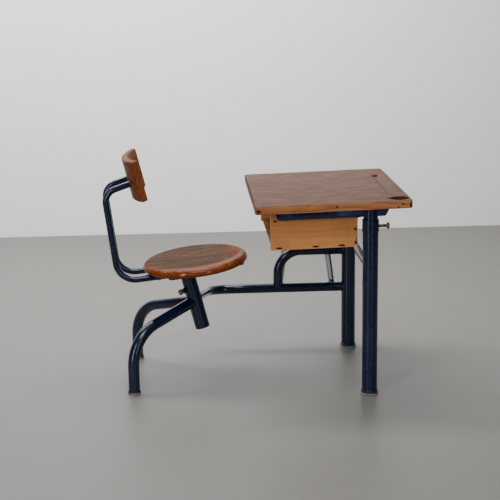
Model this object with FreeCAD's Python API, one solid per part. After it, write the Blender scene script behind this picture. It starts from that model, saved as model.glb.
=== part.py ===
"""School desk with its own seat: a steel-tube frame, a tabletop with an open book box, and a round seat.

Millimetres, +Z up.  The pupil sits at -X and faces +X, so -Y is the pupil's right and +Y the left.
The pieces are made with X = 0 at the desk posts and are then moved along X, so that the origin is
the middle of the footprint, on the floor.
"""
import FreeCAD, Part
import math
import os

# ---- Tube sizes ----
POST_D = 47.0
POST_WALL = 2.0
BEAM_D = 32.0
LEG_D = 35.0
TUBE_WALL = 2.0
RAIL_D = 30.0
RAIL_WALL = 2.0
BACK_TUBE_D = 20.0
BACK_TUBE_WALL = 1.5
HOOP_ROD_D = 20.0
STEM_WALL = 3.0
SLIDE_CLEARANCE = 0.05

# ---- Base frame ----
POST_TOP_BELOW_BOARD = 38.0
CROSS_TUBE_BELOW_POST_TOP = 146.0
BEAM_HEIGHT = 213.0
BEAM_CORNER_X = -474.0
BEAM_BEND = 80.0
BEAM_JOINT_RISE = 38.0
BRACE_LIMB_X = -240.0
BRACE_HEIGHT = 341.5
BRACE_BEND = 78.0
COLLAR_HEIGHT = 39.0
COLLAR_WALL = 1.5
COLLAR_EASE = 0.9
FOOT_CAP_FLOOR = 4.0
FOOT_CAP_WALL = 2.5
POST_FLANGE = 2.0
LEG_FLANGE = 1.0
POST_FOOT_HEIGHT = 13.0
LEG_FOOT_HEIGHT = 10.0
FOOT_TREAD_EASE = 1.5
FOOT_RIM_EASE = 1.0

# ---- Seat base ----
COLUMN_LEAN = 14.4
COLUMN_FOOT_X = -502.0
COLUMN_FOOT_HEIGHT = 155.0
LEG_JOINT_BELOW_COLUMN_TOP = 74.7
LEG_FOOT_X = -719.0
LEG_FOOT_SPREAD = 360.0
LEG_FALL = 0.24
LEG_BEND = 120.0

# ---- Satchel hoop ----
HOOP_MIDDLE_X = -143.0
HOOP_FOOT_WIDTH = 180.0
HOOP_TOP_WIDTH = 130.0
HOOP_TOP_HEIGHT = 396.0
HOOP_BEND = 38.0

# ---- Clamp bolts ----
BOLT_D = 10.0
BOLT_HEAD_ACROSS_FLATS = 17.0
BOLT_HEAD_HEIGHT = 6.4
BOLT_HEAD_BEVEL = 0.8
BOLT_HEAD_BEVEL_INSET = 1.6
BOLT_POINT = 1.0
BOLT_CLEARANCE = 0.06
BOLT_TIP_GAP = 0.15
DESK_CLAMP_BELOW_POST_TOP = 21.0
DESK_CLAMP_STAND_OFF = 26.0
SEAT_CLAMP_BELOW_COLUMN_TOP = 34.0
SEAT_CLAMP_TURN = 30.0
SEAT_CLAMP_STAND_OFF = 15.0
SEAT_NUT_D = 18.0
SEAT_NUT_HEIGHT = 8.0

# ---- Desk top ----
TOP_SLOPE = 1.4
TOP_UNDERSIDE = 581.0
TOP_THICKNESS = 24.0
TOP_WIDTH = 600.0
TOP_BEYOND_POSTS = 55.0
TOP_FRONT_X = -346.0
TOP_BACK_X = 117.0
TOP_CORNER = 12.0
TOP_EDGE = 2.5
RAIL_FRONT_X = -286.0
RAIL_BACK_X = 57.0
RAIL_FRONT_UNDERCUT = 9.0
RAIL_BACK_UNDERCUT = 16.0
RAIL_CAP = 2.0
RAIL_SCREW_PLACES = (0.1, 0.5, 0.72)
DESK_STEM_FOOT = 230.0
DESK_STEM_HEAD_GAP = 2.0
STEM_VENT_D = 6.0
STEM_VENT_TURN = 51.0
STEM_VENT_ABOVE_POST = 5.0

# ---- Pencil groove and inkwell hole ----
GROOVE_WIDTH = 32.0
GROOVE_DEPTH = 7.0
GROOVE_LENGTH = 384.0
GROOVE_FROM_BACK_EDGE = 40.0
INKWELL_D = 54.0
INKWELL_FROM_BACK_EDGE = 33.0
INKWELL_FROM_SIDE = 42.0
INKWELL_CHAMFER = 1.0
LID_PIN_D = 6.0
LID_PIN_DEPTH = 12.0
LID_PIN_SPACING = 33.0

# ---- Book box ----
BOX_SIDE = 12.0
BOX_RAIL_GAP = 3.0
BOX_FRONT_X = -297.0
BOX_BACK_X = -36.0
BOX_DEPTH = 123.5
BOX_CORNER = 4.0
BOTTOM_THICKNESS = 5.0
BOTTOM_LIFT = 3.5
BOTTOM_SET_BACK = 5.0
BACK_THICKNESS = 6.0
TENON_WIDTH = 18.0
TENON_RECESS = 1.0
TENON_PLACES = (0.09, 0.51, 0.81)
TAB_HEIGHT = 10.0
TAB_PLACES = (0.18, 0.46)
BATTEN = 16.0
BATTEN_INSET = 16.0
BATTEN_SCREW_PLACES = (0.15, 0.5, 0.85)

# ---- Wood screws ----
SCREW_D = 4.0
SCREW_HEAD_D = 9.0
SCREW_HEAD_HEIGHT = 2.6
SCREW_HEAD_EDGE = 0.6
SCREW_CROWN_D = 5.0
SCREW_CROWN_FALL = 0.4
SCREW_BITE = 14.0

# ---- Seat ----
SEAT_D = 332.0
SEAT_THICKNESS = 25.0
SEAT_DISH = 5.0
SEAT_TILT = 5.7
SEAT_X = -521.0
SEAT_HEIGHT = 372.8
SEAT_RIM_WIDTH = 18.0
SEAT_UNDER_RIM = 12.0
SEAT_WIDEST_DROP = 1.5
SEAT_TURN = 3.0
SEAT_ROLL = 2.0
BACK_TUBE_SPACING = 100.0
BACK_TUBE_LOW_REAR = 246.0
BACK_TUBE_HIGH_REAR = 253.0
BACK_TUBE_RISE = 285.0
BACK_TUBE_LOW_BEND = 60.0
BACK_TUBE_HIGH_BEND = 42.0
BACK_TUBE_HEAD_RISE = 13.0
BACK_TUBE_HEAD_REACH = 81.4
TONGUE_THICKNESS = 6.0
TONGUE_WIDTH = 27.0
TONGUE_LENGTH = 32.0
TONGUE_TAPER = 14.0
TONGUE_END_INSET = 17.0
TONGUE_CORNER = 10.8
PLATE_LENGTH = 130.0
PLATE_THICKNESS = 4.0
PLATE_CORNER = 14.0
PLATE_MARGIN = 5.0
SEAT_REAR_SCREW = 119.0
HUB_LENGTH = 33.0
HUB_ROOF = 3.0
HUB_TOP_GAP = 5.0
HUB_COLUMN_GAP = 2.5
STEM_END_GAP = 12.0
STEM_ROOF_GAP = 0.3

# ---- Backrest ----
BACKREST_WIDTH = 250.0
BACKREST_HEIGHT = 129.0
BACKREST_THICKNESS = 20.0
BACKREST_FRONT_RADIUS = 250.0
BACKREST_TILT = 8.1
BACKREST_ROUNDING = 4.0
BACKREST_CORNER = 7.0
BACKREST_ABOVE_TUBE = 11.5
TUBE_SOCKET = 10.0

# ---- Cutters ----
CUT_PAST = 1.0

# ---- Worked out from the sizes above ----
POST_SPACING = TOP_WIDTH - 2 * TOP_BEYOND_POSTS
POST_Y = POST_SPACING / 2
POST_TOP = TOP_UNDERSIDE - POST_TOP_BELOW_BOARD
CROSS_TUBE_HEIGHT = POST_TOP - CROSS_TUBE_BELOW_POST_TOP
DESK_CLAMP_HEIGHT = POST_TOP - DESK_CLAMP_BELOW_POST_TOP
BOX_BOTTOM = TOP_UNDERSIDE - BOX_DEPTH
POST_R = POST_D / 2
POST_BORE_R = POST_R - POST_WALL
STEM_R = POST_BORE_R - SLIDE_CLEARANCE
BEAM_R = BEAM_D / 2
LEG_R = LEG_D / 2
RAIL_R = RAIL_D / 2
LEAN = math.radians(COLUMN_LEAN)
COLUMN_AXIS = FreeCAD.Vector(-math.sin(LEAN), 0, math.cos(LEAN))
COLUMN_FOOT = FreeCAD.Vector(COLUMN_FOOT_X, 0, COLUMN_FOOT_HEIGHT)
BOX_OUTER_Y = POST_Y - RAIL_R - BOX_RAIL_GAP
BOX_INNER_Y = BOX_OUTER_Y - BOX_SIDE
SEAT_UNDERSIDE = -SEAT_THICKNESS / 2
BACK_TUBE_R = BACK_TUBE_D / 2
BACK_TUBE_AXIS_Z = SEAT_UNDERSIDE - BACK_TUBE_R
SIDES = {"right": -1, "left": 1}
FAR = 2000.0


def vec(x, y, z):
    return FreeCAD.Vector(x, y, z)


def rod(radius, start, end):
    """A plain cylinder between two points."""
    way = end - start
    return Part.makeCylinder(radius, way.Length, start, way)


def pipe(outer_radius, wall, start, end):
    """A straight tube between two points."""
    return rod(outer_radius, start, end).cut(rod(outer_radius - wall, start, end))


def turned(profile):
    """A solid of revolution about Z from the (radius, height) corners of its half section."""
    corners = [vec(r, 0, z) for r, z in profile]
    face = Part.Face(Part.makePolygon(corners + corners[:1]))
    return face.revolve(vec(0, 0, 0), vec(0, 0, 1), 360)


def upright(edge):
    """Whether an edge runs along Z."""
    return abs(edge.tangentAt(edge.FirstParameter).z) > 0.9


def level(edge):
    """Whether an edge runs square to Z."""
    return abs(edge.tangentAt(edge.FirstParameter).z) < 0.1


def bent_line(points, bend):
    """Straight runs joined by tangent arcs of one bend radius."""
    edges = []
    last = points[0]
    for before, corner, after in zip(points, points[1:], points[2:]):
        into = (before - corner).normalize()
        out = (after - corner).normalize()
        half_turn = (math.pi - into.getAngle(out)) / 2
        reach = bend * math.tan(half_turn)
        arc_start = corner + into * reach
        arc_end = corner + out * reach
        inward = (into + out).normalize()
        arc_middle = corner + inward * (bend / math.cos(half_turn) - bend)
        edges.append(Part.LineSegment(last, arc_start).toShape())
        edges.append(Part.Arc(arc_start, arc_middle, arc_end).toShape())
        last = arc_end
    edges.append(Part.LineSegment(last, points[-1]).toShape())
    return Part.Wire(edges)


def swept_round(path, radius):
    """A round bar along a path."""
    first = path.Edges[0]
    start = first.valueAt(first.FirstParameter)
    way = first.tangentAt(first.FirstParameter)
    ring = Part.Wire(Part.makeCircle(radius, start, way))
    return path.makePipeShell([ring], True, True)


def hollow_tube(path, outer_d, wall):
    """A round tube along a path."""
    return swept_round(path, outer_d / 2).cut(swept_round(path, outer_d / 2 - wall))


def bent_tube(points, bend, outer_d, wall):
    """A round tube of straight runs and tangent bends."""
    return hollow_tube(bent_line(points, bend), outer_d, wall)


def above_slope(height, slope):
    """Everything above a plane that is at this height where X = 0 and climbs towards +X."""
    block = Part.makeBox(FAR, FAR, FAR, vec(-FAR / 2, -FAR / 2, 0))
    block.rotate(vec(0, 0, 0), vec(0, 1, 0), -slope)
    block.translate(vec(0, 0, height))
    return block


def on_slope(shape, height, slope):
    """Put a shape made flat at Z = 0 on a plane that climbs towards +X."""
    placed = shape.copy()
    placed.rotate(vec(0, 0, 0), vec(0, 1, 0), -slope)
    placed.translate(vec(0, 0, height))
    return placed


def on_top_slope(shape):
    return on_slope(shape, TOP_UNDERSIDE, TOP_SLOPE)


def on_seat(shape):
    """Put a shape made about the seat's centre, face up, in its place, a little lower on the pupil's right."""
    placed = shape.copy()
    placed.rotate(vec(0, 0, 0), vec(1, 0, 0), SEAT_ROLL)
    placed.rotate(vec(0, 0, 0), vec(0, 1, 0), -SEAT_TILT)
    placed.translate(vec(SEAT_X, 0, SEAT_HEIGHT))
    return placed


def on_turned_seat(shape):
    """Turn a piece of the seat about the column, from straight ahead to where the seat is left at rest."""
    placed = shape.copy()
    placed.rotate(COLUMN_FOOT, COLUMN_AXIS, SEAT_TURN)
    return placed


def along_column(distance):
    """A point on the column's axis, this far from its foot."""
    return COLUMN_FOOT + COLUMN_AXIS * distance


def column_at_height(height):
    """A point on the column's axis, this high above the floor."""
    return along_column((height - COLUMN_FOOT_HEIGHT) / math.cos(LEAN))


def column_on_seat_plane(z):
    """Where the column's axis meets a plane of this height on the seat, as a distance along the column."""
    tilt = math.radians(SEAT_TILT)
    normal = vec(-math.sin(tilt), 0, math.cos(tilt))
    plane_point = vec(SEAT_X, 0, SEAT_HEIGHT) + normal * z
    return (plane_point - COLUMN_FOOT).dot(normal) / COLUMN_AXIS.dot(normal)


def hub_top():
    """How far along the column the hub reaches, a little short of the seat board."""
    return column_on_seat_plane(SEAT_UNDERSIDE) - HUB_TOP_GAP


def column_length():
    """The column ends just under the hub, wherever the seat's height puts that."""
    return hub_top() - HUB_LENGTH - HUB_COLUMN_GAP


def column_body():
    """The column's whole outer cylinder, to cope the tubes that meet it."""
    return rod(POST_R, COLUMN_FOOT, along_column(column_length()))


def post_body(side):
    """A post's whole outer cylinder, to cope the tubes that meet it."""
    return rod(POST_R, vec(0, side * POST_Y, 0), vec(0, side * POST_Y, POST_TOP))


def hex_bolt(tip, way, shank_length):
    """A hexagon-head bolt: its tip, the way its shank runs to the head, and the shank's length."""
    corner_r = BOLT_HEAD_ACROSS_FLATS / 2 / math.cos(math.radians(30))
    corners = []
    for step in range(7):
        angle = math.radians(60 * step)
        corners.append(vec(corner_r * math.cos(angle), corner_r * math.sin(angle), shank_length))
    head = Part.Face(Part.makePolygon(corners)).extrude(vec(0, 0, BOLT_HEAD_HEIGHT))
    top = shank_length + BOLT_HEAD_HEIGHT
    blank = turned([(0, 0), (corner_r, 0), (corner_r, top - BOLT_HEAD_BEVEL),
                    (corner_r - BOLT_HEAD_BEVEL_INSET, top), (0, top)])
    r = BOLT_D / 2
    shank = turned([(0, 0), (r - BOLT_POINT, 0), (r, BOLT_POINT), (r, shank_length), (0, shank_length)])
    bolt = shank.fuse(head.common(blank)).removeSplitter()
    bolt.Placement = FreeCAD.Placement(tip, FreeCAD.Rotation(vec(0, 0, 1), way))
    return bolt


def wood_screw(head_face, way, length):
    """A round-head screw: where its head sits, the way it is driven, and its length under the head."""
    r = SCREW_D / 2
    head_r = SCREW_HEAD_D / 2
    screw = turned([(0, -SCREW_HEAD_HEIGHT), (SCREW_CROWN_D / 2, SCREW_CROWN_FALL - SCREW_HEAD_HEIGHT),
                    (head_r, -SCREW_HEAD_EDGE), (head_r, 0), (r, 0), (r, length - SCREW_D), (0, length)])
    screw.Placement = FreeCAD.Placement(head_face, FreeCAD.Rotation(vec(0, 0, 1), way))
    return screw


# ---- Base frame ----

def clamp_hole(side):
    """The threaded hole through a post and its collar, with the bolt's running clearance."""
    start = vec(0, side * POST_Y, DESK_CLAMP_HEIGHT)
    return rod(BOLT_D / 2 + BOLT_CLEARANCE, start, start + vec(POST_D, 0, 0))


def post(side):
    foot = vec(0, side * POST_Y, FOOT_CAP_FLOOR)
    return pipe(POST_R, POST_WALL, foot, vec(0, side * POST_Y, POST_TOP)).cut(clamp_hole(side))


def collar(side):
    """The ring that stiffens a post's mouth, eased at both ends."""
    outer = POST_R + COLLAR_WALL
    shoulder = outer - COLLAR_EASE
    ring = turned([(POST_R, 0), (shoulder, 0), (outer, COLLAR_EASE),
                   (outer, COLLAR_HEIGHT - COLLAR_EASE), (shoulder, COLLAR_HEIGHT), (POST_R, COLLAR_HEIGHT)])
    ring.translate(vec(0, side * POST_Y, POST_TOP - COLLAR_HEIGHT))
    return ring.cut(clamp_hole(side))


def foot_cap(place, tube_radius, height, flange):
    """A moulded cap that the foot of a tube stands in, wider where it meets the floor."""
    sleeve = tube_radius + FOOT_CAP_WALL
    wide = sleeve + flange
    cap = turned([(0, 0), (wide - FOOT_TREAD_EASE, 0), (wide, FOOT_TREAD_EASE), (wide, FOOT_CAP_FLOOR),
                  (sleeve, FOOT_CAP_FLOOR + flange), (sleeve, height - FOOT_RIM_EASE),
                  (sleeve - FOOT_RIM_EASE, height), (tube_radius, height),
                  (tube_radius, FOOT_CAP_FLOOR), (0, FOOT_CAP_FLOOR)])
    cap.translate(vec(place.x, place.y, 0))
    return cap


def cross_tube():
    tube = pipe(BEAM_R, TUBE_WALL, vec(0, -POST_Y, CROSS_TUBE_HEIGHT), vec(0, POST_Y, CROSS_TUBE_HEIGHT))
    return tube.cut(post_body(-1)).cut(post_body(1))


def side_beam():
    """From the left post forward, then round and up to the seat column, coped to the left leg too."""
    start = vec(0, POST_Y, BEAM_HEIGHT)
    corner = vec(BEAM_CORNER_X, POST_Y, BEAM_HEIGHT)
    end = column_at_height(BEAM_HEIGHT + BEAM_JOINT_RISE)
    tube = bent_tube([start, corner, end], BEAM_BEND, BEAM_D, TUBE_WALL)
    return tube.cut(post_body(1)).cut(column_body()).cut(swept_round(leg_line(1), LEG_R))


def brace_tube():
    """Up from the beam and back to the post, as one bent tube."""
    foot = vec(BRACE_LIMB_X, POST_Y, BEAM_HEIGHT)
    corner = vec(BRACE_LIMB_X, POST_Y, BRACE_HEIGHT)
    end = vec(0, POST_Y, BRACE_HEIGHT)
    tube = bent_tube([foot, corner, end], BRACE_BEND, BEAM_D, TUBE_WALL)
    beam = rod(BEAM_R, vec(BEAM_CORNER_X, POST_Y, BEAM_HEIGHT), vec(0, POST_Y, BEAM_HEIGHT))
    return tube.cut(post_body(1)).cut(beam)


def satchel_hoop():
    """An upside-down U of round rod with splayed legs, welded outside the brace and the beam."""
    y = POST_Y + BEAM_R + HOOP_ROD_D / 2
    points = [vec(HOOP_MIDDLE_X - HOOP_FOOT_WIDTH / 2, y, BEAM_HEIGHT),
              vec(HOOP_MIDDLE_X - HOOP_TOP_WIDTH / 2, y, HOOP_TOP_HEIGHT),
              vec(HOOP_MIDDLE_X + HOOP_TOP_WIDTH / 2, y, HOOP_TOP_HEIGHT),
              vec(HOOP_MIDDLE_X + HOOP_FOOT_WIDTH / 2, y, BEAM_HEIGHT)]
    return swept_round(bent_line(points, HOOP_BEND), HOOP_ROD_D / 2)


# ---- Seat base ----

def seat_clamp_way():
    """Square to the column, away from the pupil's knees and turned towards the right."""
    to_front = vec(-math.cos(LEAN), 0, -math.sin(LEAN))
    return FreeCAD.Rotation(COLUMN_AXIS, SEAT_CLAMP_TURN).multVec(to_front)


def seat_clamp_place():
    """Where the seat's clamp screw points at the column's axis."""
    return along_column(column_length() - SEAT_CLAMP_BELOW_COLUMN_TOP)


def seat_clamp_hole():
    start = seat_clamp_place()
    return rod(BOLT_D / 2 + BOLT_CLEARANCE, start, start + seat_clamp_way() * POST_D)


def seat_column():
    tube = pipe(POST_R, POST_WALL, COLUMN_FOOT, along_column(column_length()))
    return tube.cut(seat_clamp_hole())


def seat_clamp_nut():
    """The round nut welded on the column for the seat's clamp screw."""
    start = seat_clamp_place()
    end = start + seat_clamp_way() * (POST_R + SEAT_NUT_HEIGHT)
    return rod(SEAT_NUT_D / 2, start, end).cut(column_body()).cut(seat_clamp_hole())


def leg_foot(side):
    return vec(LEG_FOOT_X, side * LEG_FOOT_SPREAD / 2, FOOT_CAP_FLOOR)


def leg_line(side):
    """Out of the column, gently down and round to the floor."""
    joint_height = along_column(column_length()).z - LEG_JOINT_BELOW_COLUMN_TOP
    start = column_at_height(joint_height)
    foot = leg_foot(side)
    reach = math.hypot(foot.x - start.x, foot.y - start.y)
    corner = vec(foot.x, foot.y, joint_height - LEG_FALL * reach)
    return bent_line([start, corner, foot], LEG_BEND)


def seat_leg(side):
    """A leg, coped to the column and mitred against the other leg."""
    tube = hollow_tube(leg_line(side), LEG_D, TUBE_WALL)
    other_half = Part.makeBox(FAR, FAR, FAR, vec(-FAR / 2, 0 if side < 0 else -FAR, -FAR / 2))
    return tube.cut(column_body()).cut(other_half)


# ---- Desk top ----

def rail_body(side):
    """The rail's whole outer cylinder, with both ends cut to their angle."""
    y = side * POST_Y
    bar = rod(RAIL_R, vec(RAIL_FRONT_X, y, -RAIL_R), vec(RAIL_BACK_X, y, -RAIL_R))
    behind = end_wedge(RAIL_BACK_X, RAIL_BACK_UNDERCUT)
    before = end_wedge(RAIL_FRONT_X, -RAIL_FRONT_UNDERCUT)
    return bar.cut(behind).cut(before)


def end_wedge(end_x, undercut):
    """What a slanted cut takes off a rail: nothing at the rail's top, and the undercut at its bottom."""
    away = FAR if undercut > 0 else -FAR
    corners = [vec(end_x, 0, 0), vec(end_x - undercut, 0, -RAIL_D), vec(end_x - undercut, 0, -FAR),
               vec(end_x + away, 0, -FAR), vec(end_x + away, 0, 0), vec(end_x, 0, 0)]
    wedge = Part.Face(Part.makePolygon(corners)).extrude(vec(0, FAR, 0))
    wedge.translate(vec(0, -FAR / 2, 0))
    return wedge


def rail_hollow(side):
    """The rail's inside, shortened along X by an end cap at each end."""
    y = side * POST_Y
    bore = rod(RAIL_R - RAIL_WALL, vec(RAIL_FRONT_X, y, -RAIL_R), vec(RAIL_BACK_X, y, -RAIL_R))
    body = rail_body(side)
    forward = body.copy()
    forward.translate(vec(-RAIL_CAP, 0, 0))
    backward = body.copy()
    backward.translate(vec(RAIL_CAP, 0, 0))
    return bore.common(forward).common(backward)


def rail_screws():
    """Three screws through each rail into the board."""
    screws = []
    for side in SIDES.values():
        for share in RAIL_SCREW_PLACES:
            x = RAIL_FRONT_X + share * (RAIL_BACK_X - RAIL_FRONT_X)
            seat = vec(x, side * POST_Y, -RAIL_D)
            screws.append(wood_screw(seat, vec(0, 0, 1), RAIL_D + SCREW_BITE))
    return Part.makeCompound(screws)


def desk_rail(side):
    """A closed tube under the board: its ends are plugged and its screw holes are open."""
    tube = rail_body(side).cut(rail_hollow(side)).cut(rail_screws())
    return on_top_slope(tube)


def desk_stem(side):
    """The inner tube that slides in a post, let through by the rail at its head."""
    stem = pipe(STEM_R, STEM_WALL, vec(0, side * POST_Y, DESK_STEM_FOOT), vec(0, side * POST_Y, FAR / 2))
    stem = stem.cut(above_slope(TOP_UNDERSIDE - DESK_STEM_HEAD_GAP, TOP_SLOPE))
    stem = stem.cut(on_top_slope(rail_body(side)))
    vent = vec(0, side * POST_Y, POST_TOP + STEM_VENT_ABOVE_POST)
    angle = math.radians(STEM_VENT_TURN)
    outward = vec(-math.sin(angle), side * math.cos(angle), 0)
    stem = stem.cut(rod(STEM_VENT_D / 2, vent, vent + outward * POST_D))
    return stem


def groove_cutter():
    """A ball-nosed cutter's path: straight sides, round bottom and round ends."""
    half = GROOVE_WIDTH / 2
    ball = (half * half + GROOVE_DEPTH * GROOVE_DEPTH) / (2 * GROOVE_DEPTH)
    x = TOP_BACK_X - GROOVE_FROM_BACK_EDGE
    z = TOP_THICKNESS - GROOVE_DEPTH + ball
    end = GROOVE_LENGTH / 2 - half
    bar = rod(ball, vec(x, -end, z), vec(x, end, z))
    for y in (-end, end):
        bar = bar.fuse(Part.makeSphere(ball, vec(x, y, z)))
    return bar


def inkwell_centre():
    return vec(TOP_BACK_X - INKWELL_FROM_BACK_EDGE, -TOP_WIDTH / 2 + INKWELL_FROM_SIDE, 0)


def tabletop():
    """One board with rounded corners and edges, the pencil groove and the inkwell hole."""
    length = TOP_BACK_X - TOP_FRONT_X
    board = Part.makeBox(length, TOP_WIDTH, TOP_THICKNESS, vec(TOP_FRONT_X, -TOP_WIDTH / 2, 0))
    board = board.makeFillet(TOP_CORNER, [edge for edge in board.Edges if upright(edge)])
    board = board.makeFillet(TOP_EDGE, [edge for edge in board.Edges if level(edge)])
    centre = inkwell_centre()
    radius = INKWELL_D / 2
    top = TOP_THICKNESS
    hole = turned([(0, -CUT_PAST), (radius, -CUT_PAST), (radius, top - INKWELL_CHAMFER),
                   (radius + INKWELL_CHAMFER + CUT_PAST, top + CUT_PAST), (0, top + CUT_PAST)])
    hole.translate(centre)
    pin = centre + vec(-LID_PIN_SPACING, 0, 0)
    pin_hole = rod(LID_PIN_D / 2, pin + vec(0, 0, top - LID_PIN_DEPTH), pin + vec(0, 0, top + CUT_PAST))
    board = board.cut(groove_cutter()).cut(hole).cut(pin_hole).cut(rail_screws())
    return on_top_slope(board).cut(batten_screws())


# ---- Book box ----

def box_height(x):
    """The height of the lower edge of the box's sides."""
    return BOX_BOTTOM + x * math.tan(math.radians(TOP_SLOPE))


def bottom_panel():
    """Thin panel with tenons through both sides, set back behind their front edges."""
    front = BOX_FRONT_X + BOTTOM_SET_BACK
    back = BOX_BACK_X - BACK_THICKNESS
    panel = Part.makeBox(back - front, 2 * BOX_INNER_Y, BOTTOM_THICKNESS, vec(front, -BOX_INNER_Y, BOTTOM_LIFT))
    for x in tenon_places():
        panel = panel.fuse(bottom_tenon(x, 0))
    return on_slope(panel.removeSplitter(), BOX_BOTTOM, TOP_SLOPE)


def tenon_places():
    return [BOX_FRONT_X + share * (BOX_BACK_X - BOX_FRONT_X) for share in TENON_PLACES]


def bottom_tenon(x, extra):
    reach = BOX_OUTER_Y - TENON_RECESS + extra
    return Part.makeBox(TENON_WIDTH, 2 * reach, BOTTOM_THICKNESS, vec(x - TENON_WIDTH / 2, -reach, BOTTOM_LIFT))


def tab_heights():
    low = box_height(BOX_BACK_X)
    high = TOP_UNDERSIDE
    return [low + share * (high - low) for share in TAB_PLACES]


def back_tab(z, extra):
    reach = BOX_OUTER_Y - TENON_RECESS + extra
    start = vec(BOX_BACK_X - BACK_THICKNESS, -reach, z - TAB_HEIGHT / 2)
    return Part.makeBox(BACK_THICKNESS, 2 * reach, TAB_HEIGHT, start)


def back_panel():
    """Thin panel between the sides, flush with their back edges, with tabs through them."""
    foot = box_height(BOX_BACK_X) + BOTTOM_LIFT
    start = vec(BOX_BACK_X - BACK_THICKNESS, -BOX_INNER_Y, foot)
    panel = Part.makeBox(BACK_THICKNESS, 2 * BOX_INNER_Y, FAR / 4, start)
    panel = panel.cut(above_slope(TOP_UNDERSIDE, TOP_SLOPE))
    for z in tab_heights():
        panel = panel.fuse(back_tab(z, 0))
    return panel.removeSplitter()


def box_side(side):
    """A side board up to the tabletop, mortised for the tenons and notched for the tabs."""
    face = side * BOX_INNER_Y if side > 0 else -BOX_OUTER_Y
    corners = [vec(BOX_FRONT_X, face, box_height(BOX_FRONT_X)), vec(BOX_BACK_X, face, box_height(BOX_BACK_X)),
               vec(BOX_BACK_X, face, FAR / 2), vec(BOX_FRONT_X, face, FAR / 2)]
    board = Part.Face(Part.makePolygon(corners + corners[:1])).extrude(vec(0, BOX_SIDE, 0))
    board = board.cut(above_slope(TOP_UNDERSIDE, TOP_SLOPE))
    low = [edge for edge in board.Edges
           if abs(edge.tangentAt(edge.FirstParameter).y) > 0.9 and edge.CenterOfMass.z < BOX_BOTTOM + BOX_SIDE]
    board = board.makeFillet(BOX_CORNER, low)
    for x in tenon_places():
        board = board.cut(on_slope(bottom_tenon(x, BOX_SIDE), BOX_BOTTOM, TOP_SLOPE))
    for z in tab_heights():
        board = board.cut(back_tab(z, BOX_SIDE))
    return board


def batten(side):
    """The square strip in the top corner of the box that holds its side to the board."""
    inner = BOX_INNER_Y - BATTEN
    start = BOX_FRONT_X + BATTEN_INSET
    length = BOX_BACK_X - BACK_THICKNESS - BATTEN_INSET - start
    strip = Part.makeBox(length, BATTEN, BATTEN, vec(start, inner if side > 0 else -BOX_INNER_Y, -BATTEN))
    return on_top_slope(strip).cut(batten_screws())


def batten_screws():
    """Three screws up through each batten into the board."""
    screws = []
    length = BOX_BACK_X - BOX_FRONT_X
    for side in SIDES.values():
        for share in BATTEN_SCREW_PLACES:
            place = vec(BOX_FRONT_X + share * length, side * (BOX_INNER_Y - BATTEN / 2), -BATTEN)
            screws.append(wood_screw(place, vec(0, 0, 1), BATTEN + SCREW_BITE))
    return on_top_slope(Part.makeCompound(screws))


# ---- Clamp bolts ----

def desk_clamp_bolt(side):
    tip_x = STEM_R + BOLT_TIP_GAP
    length = POST_R + DESK_CLAMP_STAND_OFF - tip_x
    return hex_bolt(vec(tip_x, side * POST_Y, DESK_CLAMP_HEIGHT), vec(1, 0, 0), length)


def seat_clamp_bolt():
    way = seat_clamp_way()
    tip = STEM_R + BOLT_TIP_GAP
    length = POST_R + SEAT_CLAMP_STAND_OFF - tip
    return hex_bolt(seat_clamp_place() + way * tip, way, length)


# ---- Seat stem, hub and plate ----

def seat_stem():
    """The inner tube of the column, which carries the seat's hub."""
    foot = along_column(STEM_END_GAP)
    head = along_column(hub_top() - HUB_ROOF - STEM_ROOF_GAP)
    return pipe(STEM_R, STEM_WALL, foot, head)


def hub_body():
    """The hub's whole outer cylinder."""
    return rod(POST_R, along_column(hub_top() - HUB_LENGTH), along_column(hub_top()))


def seat_hub():
    """The cup that fits over the stem's head, so that the seat turns on it."""
    bore = rod(POST_BORE_R, along_column(0), along_column(hub_top() - HUB_ROOF))
    return hub_body().cut(bore)


def seat_plate():
    """The steel plate under the two tubes, with the hub let through it."""
    low = BACK_TUBE_AXIS_Z - BACK_TUBE_R - PLATE_THICKNESS
    width = BACK_TUBE_SPACING + BACK_TUBE_D + 2 * PLATE_MARGIN
    centre_x = (along_column(column_on_seat_plane(low)) - vec(SEAT_X, 0, 0)).x
    plate = Part.makeBox(PLATE_LENGTH, width, PLATE_THICKNESS, vec(centre_x - PLATE_LENGTH / 2, -width / 2, low))
    plate = plate.makeFillet(PLATE_CORNER, [edge for edge in plate.Edges if upright(edge)])
    return on_seat(plate).cut(hub_body())


# ---- Seat and backrest ----

def rim_arc(centre_r, centre_z, reach, rise):
    """A quarter of a rounded rim, from above or below its centre out to its widest point."""
    half_way = math.sqrt(0.5)
    return Part.Arc(vec(centre_r, 0, centre_z + rise),
                    vec(centre_r + reach * half_way, 0, centre_z + rise * half_way),
                    vec(centre_r + reach, 0, centre_z)).toShape()


def seat_board():
    """A round board with a full, rolled rim and a shallow dish turned into its top."""
    r = SEAT_D / 2
    top = SEAT_THICKNESS / 2
    roll = r - SEAT_RIM_WIDTH
    under = r - SEAT_UNDER_RIM
    widest = -SEAT_WIDEST_DROP
    outline = [rim_arc(roll, widest, SEAT_RIM_WIDTH, top - widest),
               rim_arc(under, widest, SEAT_UNDER_RIM, SEAT_UNDERSIDE - widest),
               Part.makeLine(vec(under, 0, SEAT_UNDERSIDE), vec(0, 0, SEAT_UNDERSIDE)),
               Part.makeLine(vec(0, 0, SEAT_UNDERSIDE), vec(0, 0, top)),
               Part.makeLine(vec(0, 0, top), vec(roll, 0, top))]
    face = Part.Face(Part.Wire(Part.__sortEdges__(outline)))
    board = face.revolve(vec(0, 0, 0), vec(0, 0, 1), 360)
    dish_radius = (roll ** 2 + SEAT_DISH ** 2) / (2 * SEAT_DISH)
    board = board.cut(Part.makeSphere(dish_radius, vec(0, 0, top - SEAT_DISH + dish_radius)))
    return on_seat(board).cut(seat_screws())


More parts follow.
